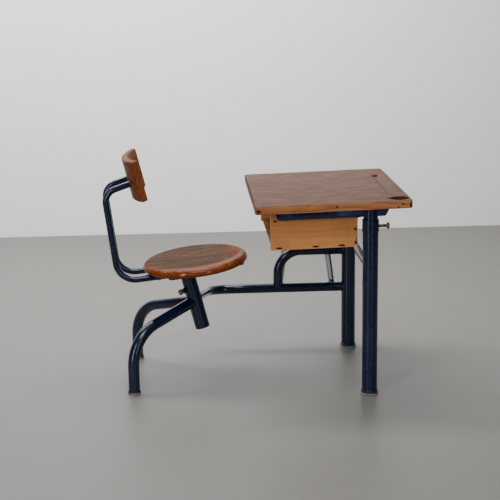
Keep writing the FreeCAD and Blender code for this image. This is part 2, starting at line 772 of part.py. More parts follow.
def tongue_end():
    """How far the tongues' tips are in front of the seat's centre."""
    return SEAT_D / 2 - TONGUE_END_INSET


def back_tube_end():
    """Where the tubes' upper ends stop, inside their sockets in the backrest."""
    rise = math.radians(BACK_TUBE_HEAD_RISE)
    corner = vec(-BACK_TUBE_HIGH_REAR, 0, BACK_TUBE_AXIS_Z + BACK_TUBE_RISE)
    return corner + vec(math.cos(rise), 0, math.sin(rise)) * (BACK_TUBE_HEAD_REACH + TUBE_SOCKET)


def back_tube(side):
    """Flattened under the seat's front, then back, up and forward into the backrest."""
    y = side * BACK_TUBE_SPACING / 2
    taper_end = tongue_end() - TONGUE_LENGTH
    taper_start = taper_end - TONGUE_TAPER
    points = [vec(taper_start, y, BACK_TUBE_AXIS_Z), vec(-BACK_TUBE_LOW_REAR, y, BACK_TUBE_AXIS_Z),
              vec(-BACK_TUBE_HIGH_REAR, y, BACK_TUBE_AXIS_Z + BACK_TUBE_RISE), back_tube_end() + vec(0, y, 0)]
    path = two_bends(points, BACK_TUBE_LOW_BEND, BACK_TUBE_HIGH_BEND)
    tube = hollow_tube(path, BACK_TUBE_D, BACK_TUBE_WALL)
    tube = tube.fuse(flattened_end(taper_start, taper_end, y)).removeSplitter()
    return on_seat(tube).cut(seat_screws())


def two_bends(points, low_bend, high_bend):
    """A path of three straight runs whose two corners have their own bend radius."""
    first, second, third, fourth = points
    middle = (second + third) * 0.5
    lower = bent_line([first, second, middle], low_bend)
    upper = bent_line([middle, third, fourth], high_bend)
    return Part.Wire(lower.Edges + upper.Edges)


def flattened_end(taper_start, taper_end, y):
    """The tube's pressed end: a taper from the round to a flat tongue with a rounded tip."""
    z_flat = SEAT_UNDERSIDE - TONGUE_THICKNESS / 2
    round_end = Part.Wire(Part.makeCircle(BACK_TUBE_R, vec(taper_start, y, BACK_TUBE_AXIS_Z), vec(1, 0, 0)))
    flat_end = flat_section(taper_end, y, z_flat)
    taper = Part.makeLoft([round_end, flat_end], True)
    blank = Part.makeBox(TONGUE_LENGTH, TONGUE_WIDTH, TONGUE_THICKNESS,
                         vec(taper_end, y - TONGUE_WIDTH / 2, z_flat - TONGUE_THICKNESS / 2))
    tip = [edge for edge in blank.Edges if upright(edge) and edge.CenterOfMass.x > taper_end + TONGUE_CORNER]
    return taper.fuse(blank.makeFillet(TONGUE_CORNER, tip))


def flat_section(x, y, z):
    """A flat oval across X, as wide and as thick as the tongue."""
    half_width = TONGUE_WIDTH / 2
    half_height = TONGUE_THICKNESS / 2
    oval = Part.Ellipse(vec(0, 0, 0), half_width, half_height).toShape()
    oval.Placement = FreeCAD.Placement(vec(x, y, z), FreeCAD.Rotation(vec(0, 1, 0), vec(0, 0, 1), vec(1, 0, 0)))
    return Part.Wire(oval)


def seat_screws():
    """One screw through each tongue, and one through each tube behind the plate."""
    screws = []
    for side in SIDES.values():
        y = side * BACK_TUBE_SPACING / 2
        front = vec(tongue_end() - TONGUE_WIDTH / 2, y, SEAT_UNDERSIDE - TONGUE_THICKNESS)
        rear = vec(-SEAT_REAR_SCREW, y, SEAT_UNDERSIDE - BACK_TUBE_D)
        screws.append(wood_screw(front, vec(0, 0, 1), TONGUE_THICKNESS + SCREW_BITE))
        screws.append(wood_screw(rear, vec(0, 0, 1), BACK_TUBE_D + SCREW_BITE))
    return on_seat(Part.makeCompound(screws))


def backrest():
    """A board curved round the pupil's back, with two blind sockets for the tubes."""
    front = BACKREST_FRONT_RADIUS
    rear = front + BACKREST_THICKNESS
    half = math.asin(BACKREST_WIDTH / 2 / rear)

    def on_arc(radius, angle):
        return vec(rear - radius * math.cos(angle), radius * math.sin(angle), 0)

    rear_arc = Part.Arc(on_arc(rear, -half), on_arc(rear, 0), on_arc(rear, half)).toShape()
    front_arc = Part.Arc(on_arc(front, -half), on_arc(front, 0), on_arc(front, half)).toShape()
    ends = [Part.LineSegment(on_arc(rear, turn), on_arc(front, turn)).toShape() for turn in (-half, half)]
    outline = Part.Wire(Part.__sortEdges__([rear_arc, front_arc] + ends))
    board = Part.Face(outline).extrude(vec(0, 0, BACKREST_HEIGHT))
    corners = [edge for edge in board.Edges if level(edge) and edge.Length < BACKREST_WIDTH / 2]
    board = board.makeFillet(BACKREST_CORNER, corners)
    board = board.makeFillet(BACKREST_ROUNDING, board_rims(board, rear))
    board.translate(vec(0, 0, -BACKREST_HEIGHT / 2))
    board.rotate(vec(0, 0, 0), vec(0, 1, 0), -BACKREST_TILT)
    board.translate(backrest_place())
    sockets = Part.makeCompound([socket(side) for side in SIDES.values()])
    return on_seat(board.cut(sockets))


def board_rims(board, rear):
    """The long edges round the front and rear faces."""
    rims = []
    for edge in board.Edges:
        middle = edge.valueAt((edge.FirstParameter + edge.LastParameter) / 2)
        radius = math.hypot(middle.x - rear, middle.y)
        start = edge.valueAt(edge.FirstParameter)
        start_radius = math.hypot(start.x - rear, start.y)
        if abs(radius - start_radius) < 1.0:
            rims.append(edge)
    return rims


def backrest_place():
    """The middle of the backrest's rear face, measured from the seat's centre."""
    bulge = BACKREST_FRONT_RADIUS + BACKREST_THICKNESS
    set_back = bulge - math.sqrt(bulge ** 2 - (BACK_TUBE_SPACING / 2) ** 2)
    rise = math.radians(BACK_TUBE_HEAD_RISE)
    mouth = back_tube_end() - vec(math.cos(rise), 0, math.sin(rise)) * TUBE_SOCKET
    return mouth + vec(-set_back, 0, BACKREST_ABOVE_TUBE)


def socket(side):
    """The tube's upper end as a solid bar, which cuts its own socket."""
    rise = math.radians(BACK_TUBE_HEAD_RISE)
    end = back_tube_end() + vec(0, side * BACK_TUBE_SPACING / 2, 0)
    return rod(BACK_TUBE_R, end - vec(math.cos(rise), 0, math.sin(rise)) * BACKREST_THICKNESS * 2, end)


# ---- The whole desk ----

def all_pieces():
    pieces = {
        "cross_tube": cross_tube(),
        "side_beam": side_beam(),
        "brace_tube": brace_tube(),
        "satchel_hoop": satchel_hoop(),
        "seat_column": seat_column(),
        "seat_clamp_nut": seat_clamp_nut(),
        "tabletop": tabletop(),
        "box_bottom": bottom_panel(),
        "box_back": back_panel(),
        "rail_screws": on_top_slope(rail_screws()),
        "batten_screws": batten_screws(),
        "seat_clamp_bolt": seat_clamp_bolt(),
        "seat_stem": seat_stem(),
        "seat_hub": on_turned_seat(seat_hub()),
        "seat_plate": on_turned_seat(seat_plate()),
        "seat_board": on_turned_seat(seat_board()),
        "seat_screws": on_turned_seat(seat_screws()),
        "backrest": on_turned_seat(backrest()),
    }
    for name, side in SIDES.items():
        post_foot = vec(0, side * POST_Y, 0)
        pieces[name + "_post"] = post(side)
        pieces[name + "_collar"] = collar(side)
        pieces[name + "_post_foot"] = foot_cap(post_foot, POST_R, POST_FOOT_HEIGHT, POST_FLANGE)
        pieces[name + "_seat_leg"] = seat_leg(side)
        pieces[name + "_leg_foot"] = foot_cap(leg_foot(side), LEG_R, LEG_FOOT_HEIGHT, LEG_FLANGE)
        pieces[name + "_desk_stem"] = desk_stem(side)
        pieces[name + "_desk_rail"] = desk_rail(side)
        pieces[name + "_clamp_bolt"] = desk_clamp_bolt(side)
        pieces[name + "_box_side"] = box_side(side)
        pieces[name + "_batten"] = batten(side)
        pieces[name + "_back_tube"] = on_turned_seat(back_tube(side))
    return pieces


def main():
    pieces = all_pieces()
    box = Part.makeCompound(list(pieces.values())).optimalBoundingBox(False, False)
    to_centre = vec(-(box.XMin + box.XMax) / 2, 0, 0)
    os.makedirs("parts", exist_ok=True)
    for name, shape in pieces.items():
        shape.translate(to_centre)
        shape.exportStep("parts/" + name + ".step")
        print(name, len(shape.Solids), shape.isValid(), round(shape.Volume))
    print("desk posts at X", round(to_centre.x, 3), "overall", box.XLength, box.YLength, box.ZLength)


main()
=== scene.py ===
"""The finishes and small visible details of a steel-tube school desk with its own seat.

Metres, +Z up.  The pupil sits at -X and faces +X.  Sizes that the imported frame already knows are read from
it, and every other size is a field of the sub-assembly that it belongs to.
"""

import logging
import math
from dataclasses import dataclass
from enum import Enum
from typing import Any, Iterable, Sequence

import bpy
from mathutils import Matrix, Vector


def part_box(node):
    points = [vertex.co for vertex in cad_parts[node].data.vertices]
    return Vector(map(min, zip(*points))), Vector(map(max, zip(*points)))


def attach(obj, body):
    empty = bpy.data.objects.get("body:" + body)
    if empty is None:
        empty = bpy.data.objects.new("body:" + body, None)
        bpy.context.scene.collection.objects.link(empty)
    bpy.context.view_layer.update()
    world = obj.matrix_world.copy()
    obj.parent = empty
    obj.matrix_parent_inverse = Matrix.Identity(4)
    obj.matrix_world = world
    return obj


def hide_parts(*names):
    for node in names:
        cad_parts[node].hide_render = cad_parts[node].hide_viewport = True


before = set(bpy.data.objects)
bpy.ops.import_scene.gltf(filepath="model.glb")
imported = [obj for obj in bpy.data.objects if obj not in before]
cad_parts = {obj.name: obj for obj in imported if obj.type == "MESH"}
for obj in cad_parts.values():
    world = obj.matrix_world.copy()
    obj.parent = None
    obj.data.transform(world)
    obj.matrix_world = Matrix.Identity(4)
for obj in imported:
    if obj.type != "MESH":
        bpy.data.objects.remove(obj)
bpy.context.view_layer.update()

LOG = logging.getLogger("school_desk")
MM = 0.001
# Scale at which the rings of a wave texture lie one metre apart.
WAVE_PERIOD = 2.0 * math.pi / 20.0
# How far the seat's column leans back from upright.
COLUMN_LEAN = math.radians(14.4)
# A tube is taken this much thinner than it is, so that it meets a host of its own size all round.
INSET = 0.999


# ---- Helpers ----

def linear(hex_colour: str) -> tuple[float, float, float, float]:
    """Turn an sRGB colour into the linear colour that a shader takes.

    Args:
        hex_colour: six hexadecimal digits, such as "1b2c4a".

    Returns:
        Linear red, green, blue and an alpha of one.
    """
    channels = [int(hex_colour[place:place + 2], 16) / 255 for place in (0, 2, 4)]
    flat = [c / 12.92 if c <= 0.04045 else ((c + 0.055) / 1.055) ** 2.4 for c in channels]
    return flat[0], flat[1], flat[2], 1.0


def feed(node: bpy.types.Node, inputs: dict[Any, Any]) -> None:
    """Set a node's inputs.

    Args:
        node: the node.
        inputs: for each input's name or number, a value, or the output socket that feeds it.
    """
    for socket, value in inputs.items():
        if isinstance(value, bpy.types.NodeSocket):
            node.id_data.links.new(value, node.inputs[socket])
        else:
            node.inputs[socket].default_value = value


def add_node(tree: bpy.types.NodeTree, kind: str, settings: dict[str, Any] | None = None,
             inputs: dict[Any, Any] | None = None) -> bpy.types.Node:
    """Add a node with its settings, its socket values and the links into it.

    Args:
        tree: the node tree that gets the node.
        kind: the node's type name.
        settings: attributes to set on the node.
        inputs: for each input's name or number, a value, or the output socket that feeds it.

    Returns:
        The new node.
    """
    node = tree.nodes.new(kind)
    for name, value in (settings or {}).items():
        setattr(node, name, value)
    feed(node, inputs or {})
    return node


def mix_colours(tree: bpy.types.NodeTree, share: bpy.types.NodeSocket, under: Any,
                over: Any) -> bpy.types.NodeSocket:
    """Lay one colour over another.

    Args:
        tree: the node tree.
        share: how far the upper colour hides the lower, from 0 to 1.
        under: the lower colour, or the socket that gives it.
        over: the upper colour, or the socket that gives it.

    Returns:
        The mixed colour.
    """
    return add_node(tree, "ShaderNodeMix", {"data_type": "RGBA"}, {0: share, 6: under, 7: over}).outputs[2]


def set_ramp(node: bpy.types.Node, stops: Sequence[tuple[float, tuple[float, float, float, float]]]) -> None:
    """Give a colour ramp its stops.

    Args:
        node: the ramp node.
        stops: each stop's place from 0 to 1 and its colour.
    """
    elements = node.color_ramp.elements
    while len(elements) < len(stops):
        elements.new(0.5)
    for element, (place, colour) in zip(elements, stops):
        element.position = place
        element.color = colour


def new_finish(name: str) -> tuple[bpy.types.Material, bpy.types.NodeTree, bpy.types.Node]:
    """Start a material.

    Args:
        name: what the finish is.

    Returns:
        The material, its node tree and its shader.
    """
    material = bpy.data.materials.new(name)
    material.use_nodes = True
    tree = material.node_tree
    return material, tree, tree.nodes["Principled BSDF"]


def deselect_all() -> None:
    """Leave object mode with nothing selected."""
    if bpy.context.mode != "OBJECT":
        bpy.ops.object.mode_set(mode="OBJECT")
    bpy.ops.object.select_all(action="DESELECT")


def make_active(piece: bpy.types.Object) -> None:
    """Select one object alone and make it active.

    Args:
        piece: the object.
    """
    deselect_all()
    piece.select_set(True)
    bpy.context.view_layer.objects.active = piece


def name_new(name: str) -> bpy.types.Object:
    """Name the object that an operator has just made, and its mesh.

    Args:
        name: the piece's name.

    Returns:
        The object.
    """
    piece = bpy.context.object
    piece.name = name
    piece.data.name = name
    return piece


def settle(piece: bpy.types.Object) -> None:
    """Put the object's place, turn and scale into its mesh, so that the object sits at the origin."""
    make_active(piece)
    bpy.ops.object.transform_apply(location=True, rotation=True, scale=True)


def apply_modifier(piece: bpy.types.Object, kind: str, settings: dict[str, Any]) -> None:
    """Add one modifier, set it and apply it.

    Args:
        piece: the object that gets it.
        kind: the modifier's type.
        settings: its attributes.
    """
    modifier = piece.modifiers.new(kind.lower(), kind)
    for name, value in settings.items():
        setattr(modifier, name, value)
    make_active(piece)
    bpy.ops.object.modifier_apply(modifier=modifier.name)


def smooth(piece: bpy.types.Object, angle: float) -> None:
    """Shade smooth, with edges sharper than an angle in degrees kept sharp."""
    make_active(piece)
    bpy.ops.object.shade_smooth_by_angle(angle=math.radians(angle))


def join(pieces: Sequence[bpy.types.Object], name: str) -> bpy.types.Object:
    """Join several objects into one.

    Args:
        pieces: the objects, all at the origin.
        name: the joined piece's name.

    Returns:
        The joined object.
    """
    make_active(pieces[0])
    for piece in pieces[1:]:
        piece.select_set(True)
    bpy.ops.object.join()
    return name_new(name)


def dress(piece: bpy.types.Object, material: bpy.types.Material) -> None:
    """Give all of a piece one material.

    Args:
        piece: the piece.
        material: its finish.
    """
    if not piece.data.materials:
        piece.data.materials.append(material)
    for place in range(len(piece.data.materials)):
        piece.data.materials[place] = material
    LOG.info("%s dressed in %s", piece.name, material.name)


def dress_nodes(names: Iterable[str], material: bpy.types.Material) -> None:
    """Give several of the frame's nodes one material."""
    for name in names:
        dress(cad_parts[name], material)


def hand_over(piece: bpy.types.Object, body: str, material: bpy.types.Material,
              nodes: Sequence[str] = ()) -> None:
    """Finish a new piece: its material, the body it rides on and the nodes that it stands for.

    Args:
        piece: the finished object, at the origin.
        body: the body that carries it.
        material: its finish.
        nodes: the frame's nodes that it replaces.
    """
    dress(piece, material)
    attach(piece, body)
    if nodes:
        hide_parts(*nodes)
    LOG.info("piece %s on %s, %d faces", piece.name, body, len(piece.data.polygons))


# ---- Finishes ----

class Grain(Enum):
    """Which way a board's grain runs, as the turn that lays a pattern made along X on it."""

    ALONG_X = (0.0, 0.0, 0.0)
    ALONG_Y = (0.0, 0.0, math.pi / 2)
    ALONG_Z = (0.0, math.pi / 2, 0.0)


@dataclass(frozen=True)
class StoveEnamel:
    """Stove enamel sprayed on steel tube: a deep gloss with a faint orange-peel ripple and rubbed patches,
    and painted light on the rails: a lighter blue.

    Attributes:
        body_colour, rubbed_colour: the paint, and the paint where knees and shoes have thinned it.
        rail_light_colour: a lighter blue on the rails and stems just under the board: painted light, standing
            in for the front light on them.
        rail_light_low, rail_light_high: heights between which that painted light sets in, in metres.
        rail_light_from: how far forward, along X, it starts, so that the seat has none.
        peel_mm, peel_depth_mm: spacing and depth of the ripple, both drawn larger than life so that it shows.
        patch_mm: size of the rubbed patches.
    """

    name: str = "stove_enamel"
    body_colour: str = "06142c"
    rubbed_colour: str = "0c2145"
    # The rails and stems under the board get a lighter blue: painted light from the front.
    rail_light_colour: str = "1f4880"
    rail_light_low: float = 0.545
    rail_light_high: float = 0.58
    rail_light_from: float = 0.0
    peel_mm: float = 5.0
    peel_depth_mm: float = 0.12
    patch_mm: float = 60.0
    roughness: float = 0.13
    rubbed_roughness: float = 0.195

    def material(self) -> bpy.types.Material:
        """Build the enamel.

        Returns:
            Its material.
        """
        material, tree, shader = new_finish(self.name)
        place = add_node(tree, "ShaderNodeTexCoord").outputs["Object"]
        patch = add_node(tree, "ShaderNodeTexNoise", inputs={
            "Vector": place, "Scale": 1 / (self.patch_mm * MM), "Detail": 5.0, "Roughness": 0.65})
        along = add_node(tree, "ShaderNodeSeparateXYZ", inputs={0: place})
        forward = add_node(tree, "ShaderNodeMath", {"operation": "GREATER_THAN"}, {
            0: along.outputs["X"], 1: self.rail_light_from})
        # Painted light: the rails and stems above these heights are drawn lighter blue.
        rail_light = add_node(tree, "ShaderNodeMapRange", inputs={
            "Value": along.outputs["Z"], "From Min": self.rail_light_low, "From Max": self.rail_light_high,
            "To Min": 0.0, "To Max": 0.5})
        wear_and_rail_light = add_node(tree, "ShaderNodeMath", {"operation": "MULTIPLY_ADD"}, {
            0: forward.outputs["Value"], 1: rail_light.outputs["Result"], 2: patch.outputs["Fac"]})
        colour = add_node(tree, "ShaderNodeValToRGB", inputs={"Fac": wear_and_rail_light.outputs["Value"]})
        set_ramp(colour, [(0.45, linear(self.body_colour)), (0.8, linear(self.rubbed_colour)),
                          (0.95, linear(self.rail_light_colour))])
        wear = add_node(tree, "ShaderNodeMapRange", inputs={
            "Value": patch.outputs["Fac"], "From Min": 0.35, "From Max": 0.75,
            "To Min": self.roughness, "To Max": self.rubbed_roughness})
        peel = add_node(tree, "ShaderNodeTexNoise", inputs={
            "Vector": place, "Scale": 1 / (self.peel_mm * MM), "Detail": 1.5})
        bump = add_node(tree, "ShaderNodeBump", inputs={
            "Height": peel.outputs["Fac"], "Strength": 0.08, "Distance": self.peel_depth_mm * MM})
        feed(shader, {"Base Color": colour.outputs["Color"], "Roughness": wear.outputs["Result"],
                      "Normal": bump.outputs["Normal"]})
        return material


@dataclass(frozen=True)
class DrawnSteel:
    """Bright or tarnished drawn steel: metal with fine scratches and cloudy oxide.

    Attributes:
        bright_colour, oxide_colour: the clean metal and its oxide.
        oxide_share: how much of it the oxide covers.
        roughness: of the clean metal.
        edge_colour: tint of the mirror where the metal turns away from the eye.
        cloud_mm: size of the oxide's clouds.
        scratch_mm, scratch_depth_mm: spacing and depth of the scratches, drawn coarse so that they show.
        oxide_blur: how softly a cloud ends.
        oxide_roughness: how much rougher the oxide is, as far as dullest_roughness.
    """

    name: str
    bright_colour: str
    oxide_colour: str
    oxide_share: float
    roughness: float
    edge_colour: str = "808489"
    cloud_mm: float = 9.0
    scratch_mm: float = 0.8
    scratch_depth_mm: float = 0.1
    oxide_blur: float = 0.12
    oxide_roughness: float = 0.35
    dullest_roughness: float = 0.8

    def material(self) -> bpy.types.Material:
        """Build the steel.

        Returns:
            Its material.
        """
        material, tree, shader = new_finish(self.name)
        place = add_node(tree, "ShaderNodeTexCoord").outputs["Object"]
        cloud = add_node(tree, "ShaderNodeTexNoise", inputs={
            "Vector": place, "Scale": 1 / (self.cloud_mm * MM), "Detail": 6.0, "Roughness": 0.6})
        edge = 0.75 - self.oxide_share * 0.5
        clear, dull = edge - self.oxide_blur, edge + self.oxide_blur
        colour = add_node(tree, "ShaderNodeValToRGB", inputs={"Fac": cloud.outputs["Fac"]})
        set_ramp(colour, [(clear, linear(self.bright_colour)), (dull, linear(self.oxide_colour))])
        rough = add_node(tree, "ShaderNodeMapRange", inputs={
            "Value": cloud.outputs["Fac"], "From Min": clear, "From Max": dull, "To Min": self.roughness,
            "To Max": min(self.roughness + self.oxide_roughness, self.dullest_roughness)})
        scratch = add_node(tree, "ShaderNodeTexNoise", inputs={
            "Vector": place, "Scale": 1 / (self.scratch_mm * MM), "Detail": 2.0})
        bump = add_node(tree, "ShaderNodeBump", inputs={
            "Height": scratch.outputs["Fac"], "Strength": 0.1, "Distance": self.scratch_depth_mm * MM})
        feed(shader, {"Base Color": colour.outputs["Color"], "Roughness": rough.outputs["Result"],
                      "Normal": bump.outputs["Normal"], "Metallic": 1.0,
                      "Specular Tint": linear(self.edge_colour)})
        return material


@dataclass(frozen=True)
class MouldedFoot:
    """Moulded foot caps: a dark blue-grey skin, pale in a ring at the floor, partly scuffed where it drags
    and partly a painted glint.

    Attributes:
        body_colour, scuff_and_glint_colour: the plastic, and the pale of its ring at the floor, partly
            plastic rubbed chalky and partly painted highlight.
        grain_mm, grain_depth_mm: spacing and depth of the mould's grain, drawn coarse so that it shows.
        scuff_mm: size of the scuffs.
        ring_mm, ring_fade_mm: how high above the floor they reach, and over what height they end.
    """

    name: str = "moulded_foot"
    body_colour: str = "161c28"
    scuff_and_glint_colour: str = "8b9096"
    grain_mm: float = 0.7
    grain_depth_mm: float = 0.15
    scuff_mm: float = 5.0
    ring_mm: float = 4.5
    ring_fade_mm: float = 1.8
    roughness: float = 0.22

    def material(self) -> bpy.types.Material:
        """Build the foot caps' plastic.

        Returns:
            Its material.
        """
        material, tree, shader = new_finish(self.name)
        place = add_node(tree, "ShaderNodeTexCoord").outputs["Object"]
        height = add_node(tree, "ShaderNodeSeparateXYZ", inputs={0: place}).outputs["Z"]
        # The pale ring at the floor is partly chalky scuffs and partly a painted glint.
        ring = add_node(tree, "ShaderNodeMapRange", inputs={
            "Value": height, "From Min": self.ring_mm * MM, "To Min": 1.0, "To Max": 0.0,
            "From Max": (self.ring_mm + self.ring_fade_mm) * MM}).outputs["Result"]
        scuff = add_node(tree, "ShaderNodeTexNoise", inputs={
            "Vector": place, "Scale": 1 / (self.scuff_mm * MM), "Detail": 6.0, "Roughness": 0.7})
        patch = add_node(tree, "ShaderNodeMapRange", inputs={
            "Value": scuff.outputs["Fac"], "From Min": 0.38, "From Max": 0.58}).outputs["Result"]
        share = add_node(tree, "ShaderNodeMath", {"operation": "MULTIPLY"}, {0: ring, 1: patch})
        colour = mix_colours(tree, share.outputs["Value"], linear(self.body_colour),
                             linear(self.scuff_and_glint_colour))
        skin = add_node(tree, "ShaderNodeTexNoise", inputs={
            "Vector": place, "Scale": 1 / (self.grain_mm * MM), "Detail": 2.0})
        bump = add_node(tree, "ShaderNodeBump", inputs={
            "Height": skin.outputs["Fac"], "Strength": 0.2, "Distance": self.grain_depth_mm * MM})
        feed(shader, {"Base Color": colour, "Normal": bump.outputs["Normal"], "Roughness": self.roughness})
        return material


@dataclass(frozen=True)
class Mark:
    """A knot, a nick, grime or painted shade in the wood: an oval with a soft edge.

    Attributes:
        place: its middle, in metres.
        half: its half sizes along X, Y and Z, in metres.
        share: how far it hides the wood.
    """

    place: tuple[float, float, float]
    half: tuple[float, float, float]
    share: float = 0.9


@dataclass(frozen=True)
class VarnishedWood:
    """Sawn and planed wood under clear varnish: growth rings, long fibres, short pores and handling stains.

    Attributes:
        light, dark, pore: colours of early wood, late wood and the open pores.
        stain: colour of dirt rubbed into the varnish.
        worn_light, worn_dark: colours of a face whose varnish has gone.
        worn_share: how far the upper faces have gone that way.
        grain: which way the fibres run.
        centre: a point that the patterns are laid out from, in metres.
        ring_mm: spacing of the rings.
        fibre_mm, pore_mm: width of the fibres and of the pores, both drawn coarse so that they show.
        roughness, worn_roughness: of the face under its varnish, and of bare wood.
        coat, coat_roughness: how much varnish lies on it, and how dull that is.
        specular: mirror of the wood itself, which is weak.
        stave_mm: width of the glued staves, or zero for one board.
        stave_offset_mm: where a joint between staves lies, from the centre.
        stave_contrast: how far one stave differs from the next.
        joint_mm: width of the dark line between staves.
        patch_mm, patch_length_mm: size of the cloudy patches on bare wood, across and along the grain.
        worn_to: how squarely a face looks up, as the height of its normal, where it is worn all through.
        worn_radius: how far the wear reaches on a round seat, or zero for no such limit.
        worn_shift: from the centre to the middle of that wear, in metres.
        worn_patch_mm, stain_mm, bend_mm: size of worn patches, of stains and of the bends in the rings.
        bend_depth: how far those bends push a ring, in metres.
        fibre_squeeze, pore_squeeze, bend_squeeze: each pattern's scale along the grain, so that it is long.
        pith: from the centre of one board to the middle of its rings, in metres.
        stave_pith: how far sideways the staves' own rings lie apart, and how deep, in metres.
        dark_tone, light_tone: levels at which the wood is all dark and all light.
        fibre_depth_mm: how far fibres and pores stand out, drawn deeper than it is so that it shows.
        marks: knots, nicks, grime and painted shade at fixed places.
        mark_colour, mark_edge: what shows in them, and the share of their size where their edge starts.
        ring_depth: how far the rings show through the fibres.
    """

    name: str
    light: str
    dark: str
    pore: str
    stain: str
    worn_light: str
    worn_dark: str
    worn_share: float
    grain: Grain
    centre: tuple[float, float, float]
    ring_mm: float
    fibre_mm: float
    pore_mm: float
    roughness: float
    coat: float
    coat_roughness: float
    worn_roughness: float = 0.75
    specular: float = 0.03
    stave_mm: float = 0.0
    stave_offset_mm: float = 0.0
    stave_contrast: float = 0.5
    joint_mm: float = 0.6
    patch_mm: float = 22.0
    patch_length_mm: float = 30.0
    worn_to: float = 0.8
    worn_radius: float = 0.0
    worn_shift: tuple[float, float, float] = (0.0, 0.0, 0.0)
    worn_patch_mm: float = 153.846
    stain_mm: float = 90.909
    bend_mm: float = 111.111
    bend_depth: float = 0.05
    fibre_squeeze: float = 0.025
    pore_squeeze: float = 0.09
    bend_squeeze: float = 0.22
    pith: tuple[float, float, float] = (0.0, 0.04, 0.11)
    stave_pith: tuple[float, float] = (0.3, 0.13)
    dark_tone: float = 0.22
    light_tone: float = 0.72
    fibre_depth_mm: float = 0.25
    marks: tuple[Mark, ...] = ()
    mark_colour: str = "22140c"
    mark_edge: float = 0.8
    ring_depth: float = 0.35

    def material(self) -> bpy.types.Material:
        """Build the wood.

        Returns:
            Its material.
        """
        material, tree, shader = new_finish(self.name)
        coords = add_node(tree, "ShaderNodeTexCoord")
        centred = add_node(tree, "ShaderNodeVectorMath", {"operation": "SUBTRACT"}, {
            0: coords.outputs["Object"], 1: self.centre}).outputs["Vector"]
        place = add_node(tree, "ShaderNodeMapping", inputs={
            "Vector": centred, "Rotation": self.grain.value}).outputs["Vector"]
        number = self._stave_number(tree, place) if self.stave_mm else None
        stave = self._stave_level(tree, number) if number else None
        fibre = self._fibre(tree, place, stave)
        pores = self._pores(tree, place)
        worn = self._worn(tree, coords, centred)
        tone = self._tone(tree, fibre, self._rings(tree, place, stave), stave)
        ramp = add_node(tree, "ShaderNodeValToRGB", inputs={"Fac": tone})
        set_ramp(ramp, [(self.dark_tone, linear(self.dark)), (self.light_tone, linear(self.light))])
        colour = mix_colours(tree, pores, ramp.outputs["Color"], linear(self.pore))
        colour = mix_colours(tree, self._stains(tree, centred), colour, linear(self.stain))
        colour = mix_colours(tree, worn, colour, self._bare(tree, place, fibre))
        if number:
            colour = mix_colours(tree, self._joints(tree, number), colour, linear(self.pore))
        if self.marks:
            colour = mix_colours(tree, self._marked(tree, coords), colour, linear(self.mark_colour))
        rough = add_node(tree, "ShaderNodeMapRange", inputs={
            "Value": worn, "From Min": 0.0, "From Max": 0.6, "To Min": self.roughness,
            "To Max": self.worn_roughness})
        polish = add_node(tree, "ShaderNodeMapRange", inputs={
            "Value": worn, "From Min": 0.0, "From Max": 0.4, "To Min": self.coat, "To Max": 0.0})
        height = add_node(tree, "ShaderNodeMath", {"operation": "SUBTRACT"}, {0: fibre, 1: pores})
        bump = add_node(tree, "ShaderNodeBump", inputs={
            "Height": height.outputs["Value"], "Strength": 0.18, "Distance": self.fibre_depth_mm * MM})
        feed(shader, {"Base Color": colour, "Roughness": rough.outputs["Result"],
                      "Normal": bump.outputs["Normal"], "Coat Weight": polish.outputs["Result"],
                      "Coat Roughness": self.coat_roughness, "Specular IOR Level": self.specular})
        return material

    def _tone(self, tree: bpy.types.NodeTree, fibre: bpy.types.NodeSocket, rings: bpy.types.NodeSocket,
              stave: bpy.types.NodeSocket | None) -> bpy.types.NodeSocket:
        """How light the wood is: fibres and rings, shifted stave by stave.

        Args:
            tree: the material's node tree.
            fibre: level of the fibres.
            rings: level of the growth rings.
            stave: level of each stave, where there are staves.

        Returns:
            The tone, from dark to light.
        """
        tone = add_node(tree, "ShaderNodeMix", {"data_type": "FLOAT"}, {
            0: self.ring_depth, 2: fibre, 3: rings}).outputs[0]
        if not stave:
            return tone
        raised = add_node(tree, "ShaderNodeMath", {"operation": "MULTIPLY_ADD"}, {
            0: stave, 1: self.stave_contrast * 0.6, 2: tone})
        return add_node(tree, "ShaderNodeMath", {"operation": "SUBTRACT"}, {
            0: raised.outputs["Value"], 1: self.stave_contrast * 0.3}).outputs["Value"]

    def _stave_number(self, tree: bpy.types.NodeTree, place: bpy.types.NodeSocket) -> bpy.types.NodeSocket:
        """How many staves lie between the centre and a point, with its share of the next.

        Args:
            tree: the material's node tree.
            place: the point, with the grain along X.

        Returns:
            The number.
        """
        across = add_node(tree, "ShaderNodeSeparateXYZ", inputs={0: place}).outputs["Y"]
        first = -self.stave_offset_mm / self.stave_mm
        return add_node(tree, "ShaderNodeMath", {"operation": "MULTIPLY_ADD"}, {
            0: across, 1: 1 / (self.stave_mm * MM), 2: first}).outputs["Value"]

    @staticmethod
    def _stave_level(tree: bpy.types.NodeTree, number: bpy.types.NodeSocket) -> bpy.types.NodeSocket:
        """A random level for each glued stave.

        Args:
            tree: the material's node tree.
            number: which stave a point lies on, with its share of it.

        Returns:
            The level.
        """
        whole = add_node(tree, "ShaderNodeMath", {"operation": "FLOOR"}, {0: number})
        return add_node(tree, "ShaderNodeTexWhiteNoise", {"noise_dimensions": "1D"}, {
            "W": whole.outputs["Value"]}).outputs["Value"]

    def _joints(self, tree: bpy.types.NodeTree, number: bpy.types.NodeSocket) -> bpy.types.NodeSocket:
        """Dark lines where two staves meet.

        Args:
            tree: the material's node tree.
            number: which stave a point lies on, with its share of it.

        Returns:
            How far the line hides the wood.
        """
        part = add_node(tree, "ShaderNodeMath", {"operation": "FRACT"}, {0: number})
        line = self.joint_mm / self.stave_mm
        return add_node(tree, "ShaderNodeMapRange", inputs={
            "Value": part.outputs["Value"], "From Min": line, "From Max": line * 1.8,
            "To Min": 0.75, "To Max": 0.0}).outputs["Result"]

